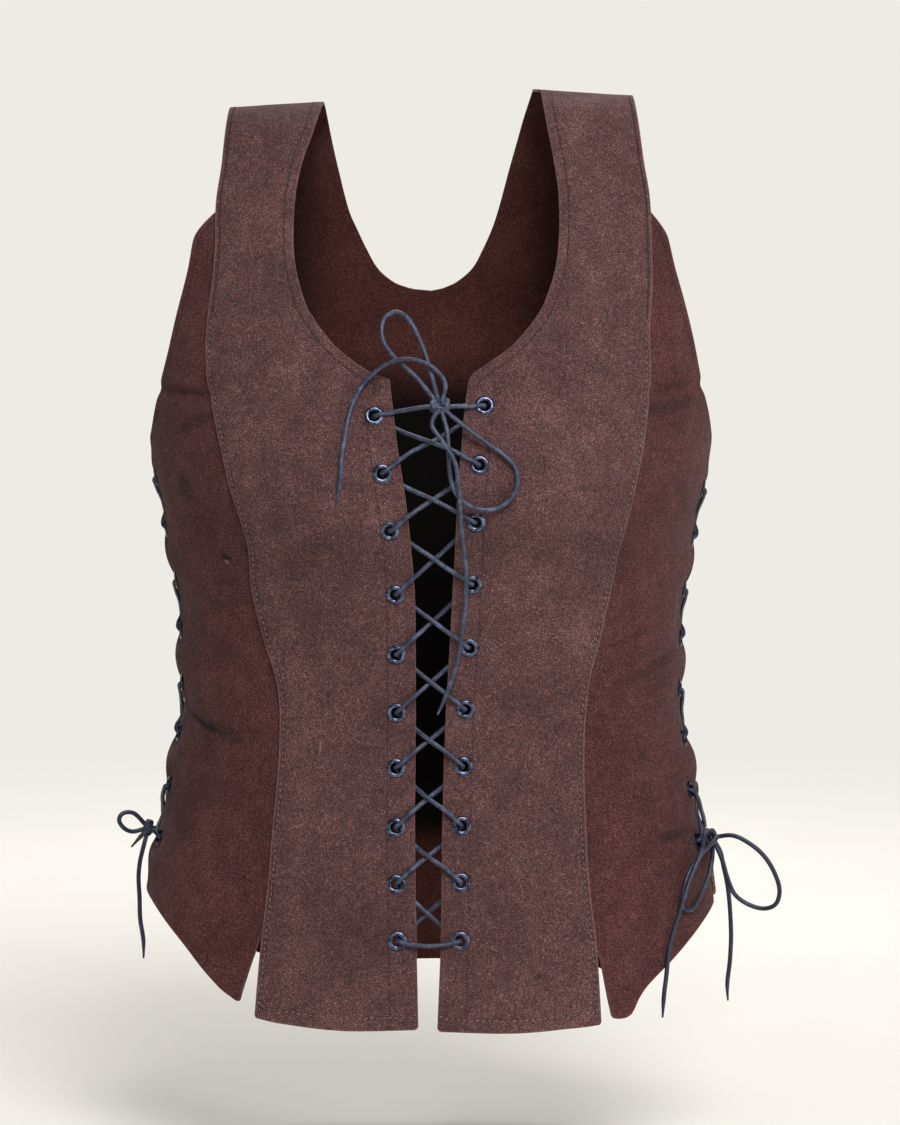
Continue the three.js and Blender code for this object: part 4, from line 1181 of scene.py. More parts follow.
def add_knot(node, knot, outwards):
    """A knot of a few turns of the lace."""
    middle, half = knot
    up = Vector((0, 0, 1))
    out = Vector(outwards)
    aside = up.cross(out)
    radius = bpy.context.scene.bodice_trim.lace / 2
    sizes = [abs(Vector(half).dot(Vector(map(abs, axis)))) - radius for axis in (aside, out, up)]
    angle = np.linspace(0, 2 * math.pi, 33)
    bm = bmesh.new()
    for across, high, lean, turn, spin, slide in zip(*KNOT_TURNS.values()):
        ring = np.stack([across * np.cos(angle), 0 * angle, high * np.sin(angle)], axis=-1)
        spun = (
            Matrix.Rotation(math.radians(spin), 3, "Y")
            @ Matrix.Rotation(math.radians(turn), 3, "Z")
            @ Matrix.Rotation(math.radians(lean), 3, "X")
        )
        ring = ring @ np.array(spun).T + (slide, 0, 0)
        ring = ring * sizes @ np.array([aside, out, up]) + middle
        add_tube(bm, ring, radius, closed=True)
    return add_piece("tied_" + node, bm, [lace_material("side" in node)], "lace", [node])


# ---------------------------------------------------------------- topstitching


BATCH = 32  # stitches made at a time


def sew(bm, line, dark):
    """Lays stitches end to end along a line, each a small rounded grain pulled into the leather."""
    if len(line) < 2:
        return
    pitch = bpy.context.scene.bodice_trim.stitch_pitch
    along = np.concatenate([[0], np.cumsum(np.linalg.norm(np.diff(line[:, :3], axis=0), axis=1))])
    count = int(along[-1] / pitch)
    spots = (np.arange(count) + 0.5) * along[-1] / count
    here, ahead = (
        np.stack([np.interp(at, along, column) for column in line.T], axis=-1)
        for at in (spots, spots + pitch / 3)
    )
    batch = bmesh.new()
    mesh = bpy.data.meshes.new("batch")
    for number in range(count):
        point, step = Vector(here[number, :3]), Vector(ahead[number, :3] - here[number, :3])
        normal = Vector(here[number, 3:]).normalized()
        forward = (step - normal * step.dot(normal)).normalized()
        forward = (forward + normal.cross(forward) * STITCH["slant"]).normalized()
        aside = normal.cross(forward)
        point += aside * STITCH["wander"] * math.sin(2.4 * number + 0.7 * math.sin(1.9 * number))
        point += normal * STITCH["high"] * STITCH["proud"]
        size = (STITCH["long"] / 2, STITCH["wide"] / 2, STITCH["high"] / 2)
        turned = Matrix([axis * half for axis, half in zip((forward, aside, normal), size)])
        turned = turned.transposed().to_4x4()
        turned.translation = point
        bmesh.ops.create_uvsphere(batch, u_segments=6, v_segments=4, radius=1, matrix=turned)
        # Short batches keep the operator quick.
        if number % BATCH == BATCH - 1 or number == count - 1:
            for face in batch.faces:
                face.material_index = int(dark)
            batch.to_mesh(mesh)
            bm.from_mesh(mesh)
            batch.clear()
    batch.free()
    bpy.data.meshes.remove(mesh)


def stitch_lines(node, cuts):
    """The lines of topstitching on a panel, each with whether its thread is darkened with painted shade.
    """
    if node == "back_centre":
        right, left = (cut.line("open", BACK_NECK_STITCH, end=BACK_NECK_SEWN) for cut in cuts)
        neck = np.vstack([right[::-1], left])
        yield neck, True
        yield np.hstack([neck[:, :3] - WALL * neck[:, 3:], -neck[:, 3:]]), True
        for cut in cuts:
            yield cut.line("outer", LAP_STITCH), True
            yield cut.line("hem", HEM_STITCH), False
        return
    cut = cuts[0]
    if node.startswith("front_centre"):
        # On the straps the lap seam's stitches are darkened with painted shade.
        yield cut.line("outer", LAP_STITCH, end=SHADED_THREAD_END), True
        yield cut.line("outer", LAP_STITCH, top=SHADED_THREAD_END), False
        yield cut.line("open", NECK_STITCH), True
        yield cut.line("inner", FACING_STITCH, top=FACING_SEWN), True
        yield cut.line("hem", HEM_STITCH), False
    else:
        yield cut.line("open", ARMHOLE_STITCH), True
        yield cut.line("outer", SIDE_FACING_STITCH, *SIDE_FACING_SEWN), True


# ---------------------------------------------------------------- materials


def feed(tree, node, inputs):
    """Feeds a node's inputs with values or with other nodes' outputs."""
    for key, value in dict(inputs).items():
        if isinstance(value, bpy.types.NodeSocket):
            tree.links.new(value, node.inputs[key])
        else:
            node.inputs[key].default_value = value
    return node


def add_node(tree, kind, inputs=(), **settings):
    node = tree.nodes.new("ShaderNode" + kind)
    for name, value in settings.items():
        setattr(node, name, value)
    return feed(tree, node, inputs)


def object_place(tree):
    return add_node(tree, "TexCoord").outputs["Object"]


def reckon(tree, operation, *values):
    """The result of a Math node."""
    return add_node(tree, "Math", enumerate(values), operation=operation).outputs[0]


def move(tree, operation, first, second):
    """The result of a Vector Math node."""
    return add_node(tree, "VectorMath", {0: first, 1: second}, operation=operation).outputs[0]


def blend_colors(tree, share, first, second):
    """Two colours mixed by a share."""
    return add_node(tree, "Mix", {0: share, 6: first, 7: second}, data_type="RGBA").outputs[2]


def in_range(tree, value, low, high, to_low=0.0, to_high=1.0):
    """A value's place between two limits, smoothly, as a share or between two other values."""
    inputs = {0: value, 1: low, 2: high, 3: to_low, 4: to_high}
    return add_node(tree, "MapRange", inputs, interpolation_type="SMOOTHSTEP").outputs[0]


def noise(tree, where, scale, detail=2.0, rough=0.5, twist=0.0):
    inputs = {"Vector": where, "Scale": scale, "Detail": detail, "Roughness": rough, "Distortion": twist}
    return add_node(tree, "TexNoise", inputs).outputs["Fac"]


def stretched(tree, where, scale, turn=(0, 0, 0)):
    return add_node(tree, "Mapping", {"Vector": where, "Scale": scale, "Rotation": turn}).outputs[0]


def color_of(values):
    return (*values, 1.0)


def new_group(name, inputs, outputs):
    """A shader node group: its tree, its inputs' sockets and its output node.

    Each socket is given by the kind it holds, or by its default number.
    """
    tree = bpy.data.node_groups.new(name, "ShaderNodeTree")
    for direction, sockets in (("INPUT", inputs), ("OUTPUT", outputs)):
        for label, given in sockets.items():
            kind = given if isinstance(given, str) else "Float"
            socket = tree.interface.new_socket(label, in_out=direction, socket_type="NodeSocket" + kind)
            if given is not kind:
                socket.default_value = given
    entry = tree.nodes.new("NodeGroupInput")
    return tree, entry.outputs, tree.nodes.new("NodeGroupOutput")


def make_nap_group():
    """Suede's nap: a coarse grain of light, dark and rusty fibres over faint clouds."""
    tree, given, result = new_group(
        "Suede nap",
        {"Color": "Color", "Brushed": "Color", "Flattened": "Color", "Rust": "Color", "Grain": 1.0},
        {"Color": "Color", "Roughness": "Float", "Height": "Float"},
    )
    where = object_place(tree)
    clouds = noise(tree, where, 15.0, 4.0, 0.55, 0.5)
    patches = noise(tree, where, 70.0, 4.0, 0.62, 0.3)
    tufts = noise(tree, where, 330.0, 3.0, 0.7)
    grain = noise(tree, where, 1300.0, 2.0, 0.9)
    warm = noise(tree, stretched(tree, where, (1.0, 1.0, 1.0), (0.7, 0.3, 1.1)), 1200.0, 2.0, 0.9)
    fibers = noise(tree, stretched(tree, where, (1.0, 1.0, 0.35)), 1900.0, 2.0, 0.6, 1.0)
    broad = reckon(tree, "MULTIPLY_ADD", clouds, 0.5, reckon(tree, "MULTIPLY", patches, 0.5))
    broad = reckon(tree, "SUBTRACT", broad, 0.5)
    middle = reckon(tree, "MULTIPLY", reckon(tree, "SUBTRACT", tufts, 0.5), 0.28)
    tone = reckon(tree, "MULTIPLY_ADD", broad, 0.55, middle)
    fine = reckon(tree, "MULTIPLY", reckon(tree, "SUBTRACT", grain, 0.5), given["Grain"])
    tone = reckon(tree, "MULTIPLY_ADD", fine, 1.7, tone)
    lighter = in_range(tree, tone, 0.0, 0.34)
    darker = in_range(tree, tone, 0.0, -0.34)
    color = blend_colors(tree, lighter, given["Color"], given["Brushed"])
    color = blend_colors(tree, darker, color, given["Flattened"])
    stray = in_range(tree, warm, 0.54, 0.72)
    color = blend_colors(tree, reckon(tree, "MULTIPLY", stray, 0.42), color, given["Rust"])
    rough = reckon(tree, "MULTIPLY_ADD", tone, -0.2, 0.88)
    height = reckon(tree, "MULTIPLY_ADD", grain, 0.7, reckon(tree, "MULTIPLY", fibers, 0.3))
    feed(tree, result, {"Color": color, "Roughness": rough, "Height": height})


def make_seam_group():
    """A line of stitching at a distance from an edge: a groove with a shadow in it."""
    tree, given, result = new_group(
        "Seam groove",
        {"Distance": 0.0, "Inset": 0.003, "Half width": 0.0012},
        {"Mask": "Float", "Height": "Float"},
    )
    off = reckon(tree, "ABSOLUTE", reckon(tree, "SUBTRACT", given["Distance"], given["Inset"]))
    mask = in_range(tree, reckon(tree, "DIVIDE", off, given["Half width"]), 1.0, 0.0)
    height = reckon(tree, "MULTIPLY", mask, -1.0)
    feed(tree, result, {"Mask": mask, "Height": height})


def make_wear_and_highlight_group():
    """Wear and a painted highlight along an edge: a paler band, broken up by noise."""
    tree, given, result = new_group(
        "Edge wear and highlight",
        {"Distance": 0.0, "Width": 0.0025, "Raggedness": 1.0},
        {"Mask": "Float"},
    )
    where = object_place(tree)
    ragged = reckon(tree, "SUBTRACT", noise(tree, where, 420.0, 3.0, 0.7), 0.5)
    ragged = reckon(tree, "MULTIPLY_ADD", ragged, given["Raggedness"], 1.0)
    width = reckon(tree, "MULTIPLY", given["Width"], ragged)
    mask = in_range(tree, reckon(tree, "DIVIDE", given["Distance"], width), 1.15, 0.55)
    feed(tree, result, {"Mask": mask})


def make_mark_group():
    """A soft-edged patch, longer than wide, at a place on the garment's front or back, used for patches
    of painted shade and for spots and streaks.
    """
    tree, given, result = new_group(
        "Mark",
        {"Place": "Vector", "Size": "Vector", "Turn": "Vector", "Softness": 0.75},
        {"Mask": "Float"},
    )
    where = object_place(tree)
    wobble = add_node(tree, "TexNoise", {"Vector": where, "Scale": 130.0, "Detail": 3.0})
    shift = move(tree, "SUBTRACT", wobble.outputs["Color"], (0.5, 0.5, 0.5))
    shift = move(tree, "MULTIPLY", shift, (0.006, 0.006, 0.006))
    inputs = {
        "Vector": move(tree, "ADD", where, shift),
        "Location": given["Place"],
        "Rotation": given["Turn"],
        "Scale": given["Size"],
    }
    local = add_node(tree, "Mapping", inputs, vector_type="TEXTURE")
    length = add_node(tree, "VectorMath", {0: local.outputs[0]}, operation="LENGTH").outputs["Value"]
    inner = reckon(tree, "SUBTRACT", 1.0, given["Softness"])
    mask = in_range(tree, length, 1.0, inner)
    feed(tree, result, {"Mask": mask})


GROUPS = {
    "Suede nap": make_nap_group,
    "Seam groove": make_seam_group,
    "Edge wear and highlight": make_wear_and_highlight_group,
    "Mark": make_mark_group,
}


def group(tree, name, inputs):
    """The outputs of a node group placed in a material. The group is built at its first use."""
    if name not in bpy.data.node_groups:
        GROUPS[name]()
    return add_node(tree, "Group", inputs, node_tree=bpy.data.node_groups[name]).outputs


def new_material(name):
    """A material with its tree and its principled shader."""
    material = bpy.data.materials.new(name)
    material.use_nodes = True
    return material, material.node_tree, material.node_tree.nodes["Principled BSDF"]


def plug(tree, shader, color, rough, height, distance, gloss=0.5):
    """Feeds a shader and its bump."""
    bump = add_node(tree, "Bump", {"Height": height, "Distance": distance, "Strength": 1.0})
    inputs = {"Base Color": color, "Roughness": rough, "Normal": bump.outputs[0]}
    feed(tree, shader, {**inputs, "Specular IOR Level": gloss})


def distance_from(tree, edge):
    """How far the surface lies from one of a panel's edges."""
    name, channel = EDGE_MARKS[edge]
    where = add_node(tree, "UVMap", uv_map=name).outputs[0]
    return add_node(tree, "SeparateXYZ", {0: where}).outputs[channel]


def make_suede(name, colors, seams, worn, marks):
    """The outside of a panel, with its seams darkened by pressed nap and painted shadow, its edges paled
    by wear and a painted highlight, and its marks: patches of painted shade, spots and streaks.
    """
    material, tree, shader = new_material(name)
    leather = bpy.context.scene.bodice_leather
    base, brushed, flattened = (color_of(color) for color in colors)
    rust = color_of(leather.rust_color)
    nap = group(
        tree, "Suede nap", {"Color": base, "Brushed": brushed, "Flattened": flattened, "Rust": rust}
    )
    color, height = nap["Color"], nap["Height"]
    z = add_node(tree, "SeparateXYZ", {0: object_place(tree)}).outputs[2]
    for edge, width, strength in worn:
        mask = group(tree, "Edge wear and highlight", {"Distance": distance_from(tree, edge), "Width": width})["Mask"]
        # Wear and a painted highlight pale the band along the edge.
        color = blend_colors(tree, reckon(tree, "MULTIPLY", mask, strength), color, brushed)
    for edge, inset, half_width, strength, top in seams:
        seam = group(
            tree, "Seam groove",
            {"Distance": distance_from(tree, edge), "Inset": inset, "Half width": half_width},
        )
        below = in_range(tree, z, -top, -top - 0.004)
        mask = reckon(tree, "MULTIPLY", reckon(tree, "MULTIPLY", seam["Mask"], strength), below)
        # Pressed nap and painted shadow darken the groove.
        color = blend_colors(tree, mask, color, flattened)
        height = reckon(tree, "MULTIPLY_ADD", mask, -SEAM_DEPTH, height)
    for across, drop, long, wide, turn, strength in marks:
        mask = group(
            tree, "Mark",
            {
                "Place": (across, 0.0, -drop),
                "Size": (long, 1.0, wide),
                "Turn": (0.0, math.radians(turn), 0.0),
            },
        )["Mask"]
        # The darker patches are mostly painted shade in folds and creases, below the darts and under the
        # bust.
        shade = flattened if strength > 0 else brushed
        color = blend_colors(tree, reckon(tree, "MULTIPLY", mask, abs(strength)), color, shade)
    plug(tree, shader, color, nap["Roughness"], height, NAP_HEIGHT, gloss=0.12)
    shader.inputs["Sheen Weight"].default_value = 0.05
    shader.inputs["Sheen Roughness"].default_value = 0.5
    return material


# Where painted shade starts to darken the inside and where it is darkest: by height, by the distance
# from the centre and by Y.
INSIDE_SHADE = {
    "neck": (-0.150, -0.196), "hem": (-0.478, -0.448), "aside": (0.050, 0.094), "aside share": 0.8,
    "front": (-0.02, -0.06),
}


def make_inside(name):
    """The flesh side: redder, with painted shade that makes it nearly black between the neck and the
    hem, away from the centre and on the front.
    """
    material, tree, shader = new_material(name)
    leather = bpy.context.scene.bodice_leather
    nap = group(
        tree, "Suede nap",
        {
            "Color": color_of(leather.inside_color),
            "Brushed": color_of(leather.inside_brushed),
            "Flattened": color_of(leather.inside_flattened),
            "Rust": color_of(leather.rust_color),
            "Grain": 0.9,
        },
    )
    place_in = add_node(tree, "SeparateXYZ", {0: object_place(tree)})
    z = place_in.outputs[2]
    aside = reckon(tree, "ABSOLUTE", place_in.outputs[0])
    below_neck = in_range(tree, z, *INSIDE_SHADE["neck"])
    above_hem = in_range(tree, z, *INSIDE_SHADE["hem"])
    away = in_range(tree, aside, *INSIDE_SHADE["aside"])
    front = in_range(tree, place_in.outputs[1], *INSIDE_SHADE["front"])
    deep = reckon(tree, "MULTIPLY", below_neck, above_hem)
    deep = reckon(tree, "MAXIMUM", deep, reckon(tree, "MULTIPLY", away, INSIDE_SHADE["aside share"]))
    deep = reckon(tree, "MAXIMUM", deep, front)
    # Painted shade: the near-black colour where the inside lies deep in the bodice.
    color = blend_colors(tree, deep, nap["Color"], color_of(leather.inside_painted_shade))
    plug(tree, shader, color, nap["Roughness"], nap["Height"], NAP_HEIGHT, gloss=0.05)
    return material


def make_cut_edge(name):
    """The raw edge of the leather: paler loose fibres over a dark core."""
    material, tree, shader = new_material(name)
    leather = bpy.context.scene.bodice_leather
    where = object_place(tree)
    fibers = noise(tree, where, 1900.0, 3.0, 0.7, 0.8)
    patches = noise(tree, where, 240.0, 3.0, 0.6)
    tufts = noise(tree, where, 800.0, 2.0, 0.8)
    tone = reckon(tree, "MULTIPLY_ADD", fibers, 0.25, reckon(tree, "MULTIPLY", patches, 0.25))
    tone = reckon(tree, "MULTIPLY_ADD", tufts, 0.5, tone)
    color = blend_colors(
        tree, in_range(tree, tone, 0.42, 0.62),
        color_of(leather.edge_dark), color_of(leather.edge_color),
    )
    rough = in_range(tree, tone, 0.3, 0.7, 0.8, 0.95)
    plug(tree, shader, color, rough, fibers, FIBER_HEIGHT, gloss=0.15)
    return material


def make_lace(name, colors):
    """Round waxed cord: a smooth skin with fine lengthwise wrinkles, painted shade in their hollows, and
    rubbed places.
    """
    material, tree, shader = new_material(name)
    base, pale, deep = (color_of(color) for color in colors)
    along = add_node(tree, "UVMap", uv_map="length").outputs[0]
    where = object_place(tree)
    wrinkles = noise(tree, stretched(tree, along, (260.0, 1500.0, 1.0)), 1.0, 3.0, 0.6)
    rubbed = noise(tree, where, 210.0, 3.0, 0.6)
    grain = noise(tree, where, 2400.0, 2.0, 0.6)
    worn = in_range(tree, rubbed, 0.46, 0.66)
    color = blend_colors(tree, worn, base, pale)
    # Painted shade: darker where the wrinkles' bump is low.
    crease_shade = in_range(tree, wrinkles, 0.55, 0.3)
    color = blend_colors(tree, reckon(tree, "MULTIPLY", crease_shade, 0.55), color, deep)
    rough = reckon(tree, "MULTIPLY_ADD", grain, 0.22, in_range(tree, rubbed, 0.3, 0.7, 0.30, 0.42))
    height = reckon(tree, "MULTIPLY_ADD", wrinkles, 0.8, reckon(tree, "MULTIPLY", grain, 0.2))
    plug(tree, shader, color, rough, height, WRINKLE_HEIGHT)
    return material


def make_eyelet_metal(name, colors):
    """Gunmetal plate with small scratches and rubbed rims."""
    material, tree, shader = new_material(name)
    base, tarnished, worn = (color_of(color) for color in colors)
    where = object_place(tree)
    cloud = noise(tree, where, 330.0, 3.0, 0.6)
    scratches = noise(tree, stretched(tree, where, (1.0, 1.0, 0.12), (0.0, 0.6, 0.0)), 3200.0, 2.0, 0.6)
    color = blend_colors(tree, in_range(tree, cloud, 0.35, 0.68), tarnished, base)
    bright = in_range(tree, scratches, 0.62, 0.75)
    color = blend_colors(tree, reckon(tree, "MULTIPLY", bright, 0.35), color, worn)
    rough = reckon(tree, "MULTIPLY_ADD", cloud, 0.25, 0.16)
    plug(tree, shader, color, rough, scratches, SCRATCH_DEPTH)
    shader.inputs["Metallic"].default_value = 1.0
    return material


def make_thread(name, color, dark):
    """Spun thread, with its plies slanting round it."""
    material, tree, shader = new_material(name)
    where = object_place(tree)
    plies = noise(tree, stretched(tree, where, (1.0, 1.0, 2.2), (0.0, 0.7, 0.0)), 2100.0, 2.0, 0.5)
    shade = noise(tree, where, 190.0, 2.0, 0.5)
    tone = reckon(tree, "MULTIPLY_ADD", plies, 0.55, reckon(tree, "MULTIPLY", shade, 0.45))
    color = blend_colors(tree, in_range(tree, tone, 0.36, 0.60), color_of(dark), color_of(color))
    rough = in_range(tree, plies, 0.3, 0.7, 0.55, 0.8)
    plug(tree, shader, color, rough, plies, PLY_HEIGHT, gloss=0.3)
    return material


def made_once(name, make, *values):
    return bpy.data.materials.get(name) or make(name, *values)


def lace_material(at_side):
    """Both laces have rubbed places. The side laces are a darker copy of the front lace: painted shade
    for the sides, which turn away from the light.
    """
    trim = bpy.context.scene.bodice_trim
    # The side laces' darker colours are painted shade.
    if at_side:
        colors = trim.side_lace_shaded_color, trim.side_lace_shaded_rubbed, trim.lace_crease_shade
    else:
        colors = trim.lace_color, trim.lace_rubbed, trim.lace_crease_shade
    return made_once("Side lace" if at_side else "Lace", make_lace, colors)


def outside_material(node):
    """The outside of one panel, in the colours of the front, or in the darker copy of them for the sides
    and back, which is painted shade.
    """
    leather = bpy.context.scene.bodice_leather
    front = node.startswith("front_centre")
    tones = ("color", "brushed", "flattened")
    # The sides and back take the darker copy of the suede's colours: painted shade.
    colors = [getattr(leather, ("front_" if front else "side_") + tone) for tone in tones]
    seams, worn = SEWN_EDGES.get(node.removesuffix("_right").removesuffix("_left"), SEWN_SIDE)
    return made_once("Suede " + node.replace("_", " "), make_suede, colors, seams, worn, SHADE_PATCHES_AND_SPOTS[node])


# ---------------------------------------------------------------- settings


def linear(red, green, blue):
    """A colour on the scales that screens show, 0 to 255, as a linear one."""
    shares = [value / 255 for value in (red, green, blue)]
    return [v / 12.92 if v <= 0.04045 else ((v + 0.055) / 1.055) ** 2.4 for v in shares]


def color_setting(name, description, *color):
    return FloatVectorProperty(
        name=name, description=description, default=linear(*color), subtype="COLOR", size=3,
        min=0, max=1,
    )


class BodiceLeather(bpy.types.PropertyGroup):
    """Sizes and colours of the leather."""

    cell: FloatProperty(
        name="Cell", description="Size of a panel's faces", default=0.0025, min=0.001, unit="LENGTH"
    )
    waves: FloatProperty(
        name="Waves", description="Height of the leather's slight unevenness", default=0.00022,
        min=0, precision=5, unit="LENGTH",
    )
    front_color: color_setting("Front", "Colour of the front panels", 71, 50, 51)
    front_brushed: color_setting("Front, brushed", "Where the front's nap stands up", 136, 101, 98)
    front_flattened: color_setting("Front, flattened", "Where the front's nap lies down", 42, 27, 30)
    # Painted shade: the side and back colours are the front's suede made darker and redder, as the sides
    # look where they turn away from the light.
    side_color: color_setting("Sides", "Colour of the side panels", 63, 37, 38)
    side_brushed: color_setting("Sides, brushed", "Where the sides' nap stands up", 118, 75, 72)
    side_flattened: color_setting("Sides, flattened", "Where the sides' nap lies down", 30, 17, 19)
    rust_color: color_setting("Rusty fibres", "Colour of stray reddish fibres", 132, 66, 50)
    inside_color: color_setting("Inside", "Colour of the flesh side", 66, 38, 36)
    inside_brushed: color_setting("Inside, brushed", "Where the flesh side is paler", 104, 66, 58)
    inside_flattened: color_setting("Inside, flattened", "Where the flesh side is darker", 38, 18, 18)
    # Painted shade: the near-black colour of the inside deep in the bodice.
    inside_painted_shade: color_setting("Inside, depth", "Deep inside, below the neck", 13, 9, 9)
    edge_color: color_setting("Cut edge", "Pale fibres of the raw edges", 150, 112, 106)
    edge_dark: color_setting("Cut edge, core", "Dark core of the raw edges", 52, 33, 33)


class BodiceTrim(bpy.types.PropertyGroup):
    """Sizes and colours of the laces, eyelets and thread."""

    lace: FloatProperty(
        name="Lace", description="Diameter of the laces", default=0.00275, min=0.001,
        precision=5, unit="LENGTH",
    )
    lace_color: color_setting("Lace", "Colour of the front lace", 42, 48, 68)
    lace_rubbed: color_setting("Lace, rubbed", "Where the front lace is rubbed", 76, 85, 112)
    # Painted shade: the side laces' colours are the front lace's darkened.
    side_lace_shaded_color: color_setting("Side laces", "Colour of the side laces", 22, 26, 44)
    side_lace_shaded_rubbed: color_setting("Side laces, rubbed", "Where they are rubbed", 42, 50, 80)
    # Painted shade in the laces' creases.
    lace_crease_shade: color_setting("Lace, creases", "In the creases of a lace", 18, 20, 30)
    # Painted shade: the side eyelets' colours are the front eyelets' darkened, as the sides turn away
    # from the light.
    side_metal_shaded_color: color_setting("Side eyelets", "Colour of the side eyelets", 44, 50, 68)
    side_metal_shaded_tarnish: color_setting("Side eyelets, tarnish", "Their dark plating", 18, 20, 30)
    metal_color: color_setting("Eyelets", "Colour of the eyelets", 112, 121, 148)
    metal_dark: color_setting("Eyelets, tarnish", "Dark plating of the eyelets", 48, 54, 72)
    metal_worn: color_setting("Eyelets, worn", "Where the plating is scratched", 190, 198, 214)
    stitch_pitch: FloatProperty(
        name="Stitch pitch", description="From one stitch to the next", default=0.0036,
        min=0.002, precision=5, unit="LENGTH",
    )
    thread_light: color_setting("Light thread", "The light topstitching", 136, 110, 114)
    thread_shade: color_setting("Light thread, shaded", "Between its plies", 92, 70, 74)
    # Painted shade: the darker thread colour stands in for the shade on stitches sunk in their pits.
    thread_painted_shade: color_setting("Thread in painted shade", "The dark topstitching", 62, 42, 42)
    thread_painted_shade_plies: color_setting("Thread in painted shade, shaded", "Between its plies", 38, 24, 24)


class BodiceStage(bpy.types.PropertyGroup):
    """The floor and the lights."""

    floor_color: color_setting("Floor", "Colour of the floor and backdrop", 232, 229, 223)
    floor_drop: FloatProperty(
        name="Floor drop", description="From the shoulders down to the floor", default=0.64,
        min=0.57, unit="LENGTH",
    )
    key_power: FloatProperty(
        name="Key", description="Power of the soft front light", default=70, min=0, unit="POWER"
    )
    backdrop_power: FloatProperty(
        name="Backdrop", description="Power of the lights on the backdrop and floor", default=92, min=0,
        unit="POWER",
    )
    fill_power: FloatProperty(
        name="Fill", description="Power of each side light", default=10, min=0, unit="POWER"
    )
    world: FloatProperty(
        name="Ambient", description="Strength of the light from all round", default=0.16, min=0
    )
    paleness: FloatProperty(
        name="Backdrop paleness", description="How bright the far floor and the backdrop look",
        default=1.06, min=0,
    )


# ---------------------------------------------------------------- operators

CAMERA = {"place": (0.0116, -2.5937, -0.1006), "tilt": 86.0, "lens": 136.39, "sensor": 36.0}


class BODICE_OT_camera(bpy.types.Operator):
    """Set the camera in front of the bodice"""

    bl_idname = "bodice.camera"
    bl_label = "Camera"

    def execute(self, context):
        lens = bpy.data.cameras.new("Camera")
        lens.lens = CAMERA["lens"]
        lens.sensor_width = CAMERA["sensor"]
        camera = bpy.data.objects.new("Camera", lens)
        camera.location = CAMERA["place"]
        camera.rotation_euler = (math.radians(CAMERA["tilt"]), 0, 0)
        context.scene.collection.objects.link(camera)
        context.scene.camera = camera
        return {"FINISHED"}


class BODICE_OT_bows(bpy.types.Operator):
    """Tie the three bows: their knots, loops and tails"""

    bl_idname = "bodice.bows"
    bl_label = "Bows"

    def execute(self, context):
        knot = front_knot()
        add_knot("front_knot", knot, (0, -1, 0))
        for node, rows in FRONT_CORDS.items():
            add_free_cord(node, [on_front(row) for row in rows], knot)
        for side, name in SIDES.items():
            knot = side_knot(side)
            add_knot("side_knot_" + name, knot, (side, 0, 0))
            pieces = {}
            for node, rows in SIDE_CORDS[name].items():
                points = [on_side(side, row) for row in rows]
                riding = [pieces[stub] for stub in CORD_PIECES.get(node, ())]
                pieces[node] = add_free_cord(node, points, knot)
        return {"FINISHED"}


class BODICE_OT_lacings(bpy.types.Operator):
    """Lead the front lace and the two side laces through their eyelets"""

    bl_idname = "bodice.lacings"
    bl_label = "Lacings"

    def execute(self, context):
        add_lace("laced_front", smooth_route(front_lacing_route()), "front_lacing")
        for side, name in SIDES.items():
            route = smooth_route(side_lacing_route(side))
            add_lace("laced_side_" + name, route, "side_lacing_" + name)
        return {"FINISHED"}


class BODICE_OT_panels(bpy.types.Operator):
    """Cut and shape the leather panels"""

    bl_idname = "bodice.panels"
    bl_label = "Leather panels"

    def execute(self, context):
        for node, (cuts, seats) in lay_panels().items():
            leather_piece(node, cuts, seats)
        return {"FINISHED"}


class BODICE_OT_eyelets(bpy.types.Operator):
    """Set the eyelets"""

    bl_idname = "bodice.eyelets"
    bl_label = "Eyelets"

    def execute(self, context):
        trim = context.scene.bodice_trim
        front_colors = trim.metal_color, trim.metal_dark, trim.metal_worn
        # The side eyelets' darker colours are painted shade.
        shaded_side_colors = trim.side_metal_shaded_color, trim.side_metal_shaded_tarnish, trim.metal_color
        front_metal = make_eyelet_metal("Eyelet metal", front_colors)
        side_metal = make_eyelet_metal("Side eyelet metal in painted shade", shaded_side_colors)
        for node, (_, seats) in lay_panels().items():
            if node.startswith("front_centre"):
                side = node.rsplit("_", 1)[1]
                for row, seat in enumerate(seats, 1):
                    label = f"eyelet_{side}_{row}"
                    set_eyelets(label, [seat], front_metal, ["front_" + label])
            elif seats:
                set_eyelets("eyelets_" + node, seats, side_metal)
        return {"FINISHED"}


class BODICE_OT_stitching(bpy.types.Operator):
    """Sew the topstitching"""

    bl_idname = "bodice.stitching"
    bl_label = "Topstitching"

    def execute(self, context):
        trim = context.scene.bodice_trim
        threads = [
            make_thread("Light thread", trim.thread_light, trim.thread_shade),
            make_thread("Thread in painted shade", trim.thread_painted_shade, trim.thread_painted_shade_plies),
        ]
        for node, (cuts, _) in lay_panels().items():
            bm = bmesh.new()
            for line, dark in stitch_lines(node, cuts):
                sew(bm, line, dark)
            if not bm.faces:
                raise RuntimeError("no stitches were sewn on " + node)
            add_piece("stitches_" + node, bm, threads, slot_of(node))
        return {"FINISHED"}


STAGE = {"front": 7, "flat": 3.4, "round": 1.4, "high": 5, "aside": 7}
CURVE_STEPS = 16  # of the backdrop's bend
CLOUDS = 0.97  # how bright the floor's faint clouds are beside its colour
MIDDLE = (0, 0, -0.28)  # of the bodice
BACKDROP_MIDDLE = (0, STAGE["flat"] + STAGE["round"], 0)
FLOOR_AHEAD = (0, -6.4, -0.64)  # far out on the floor, before the bodice
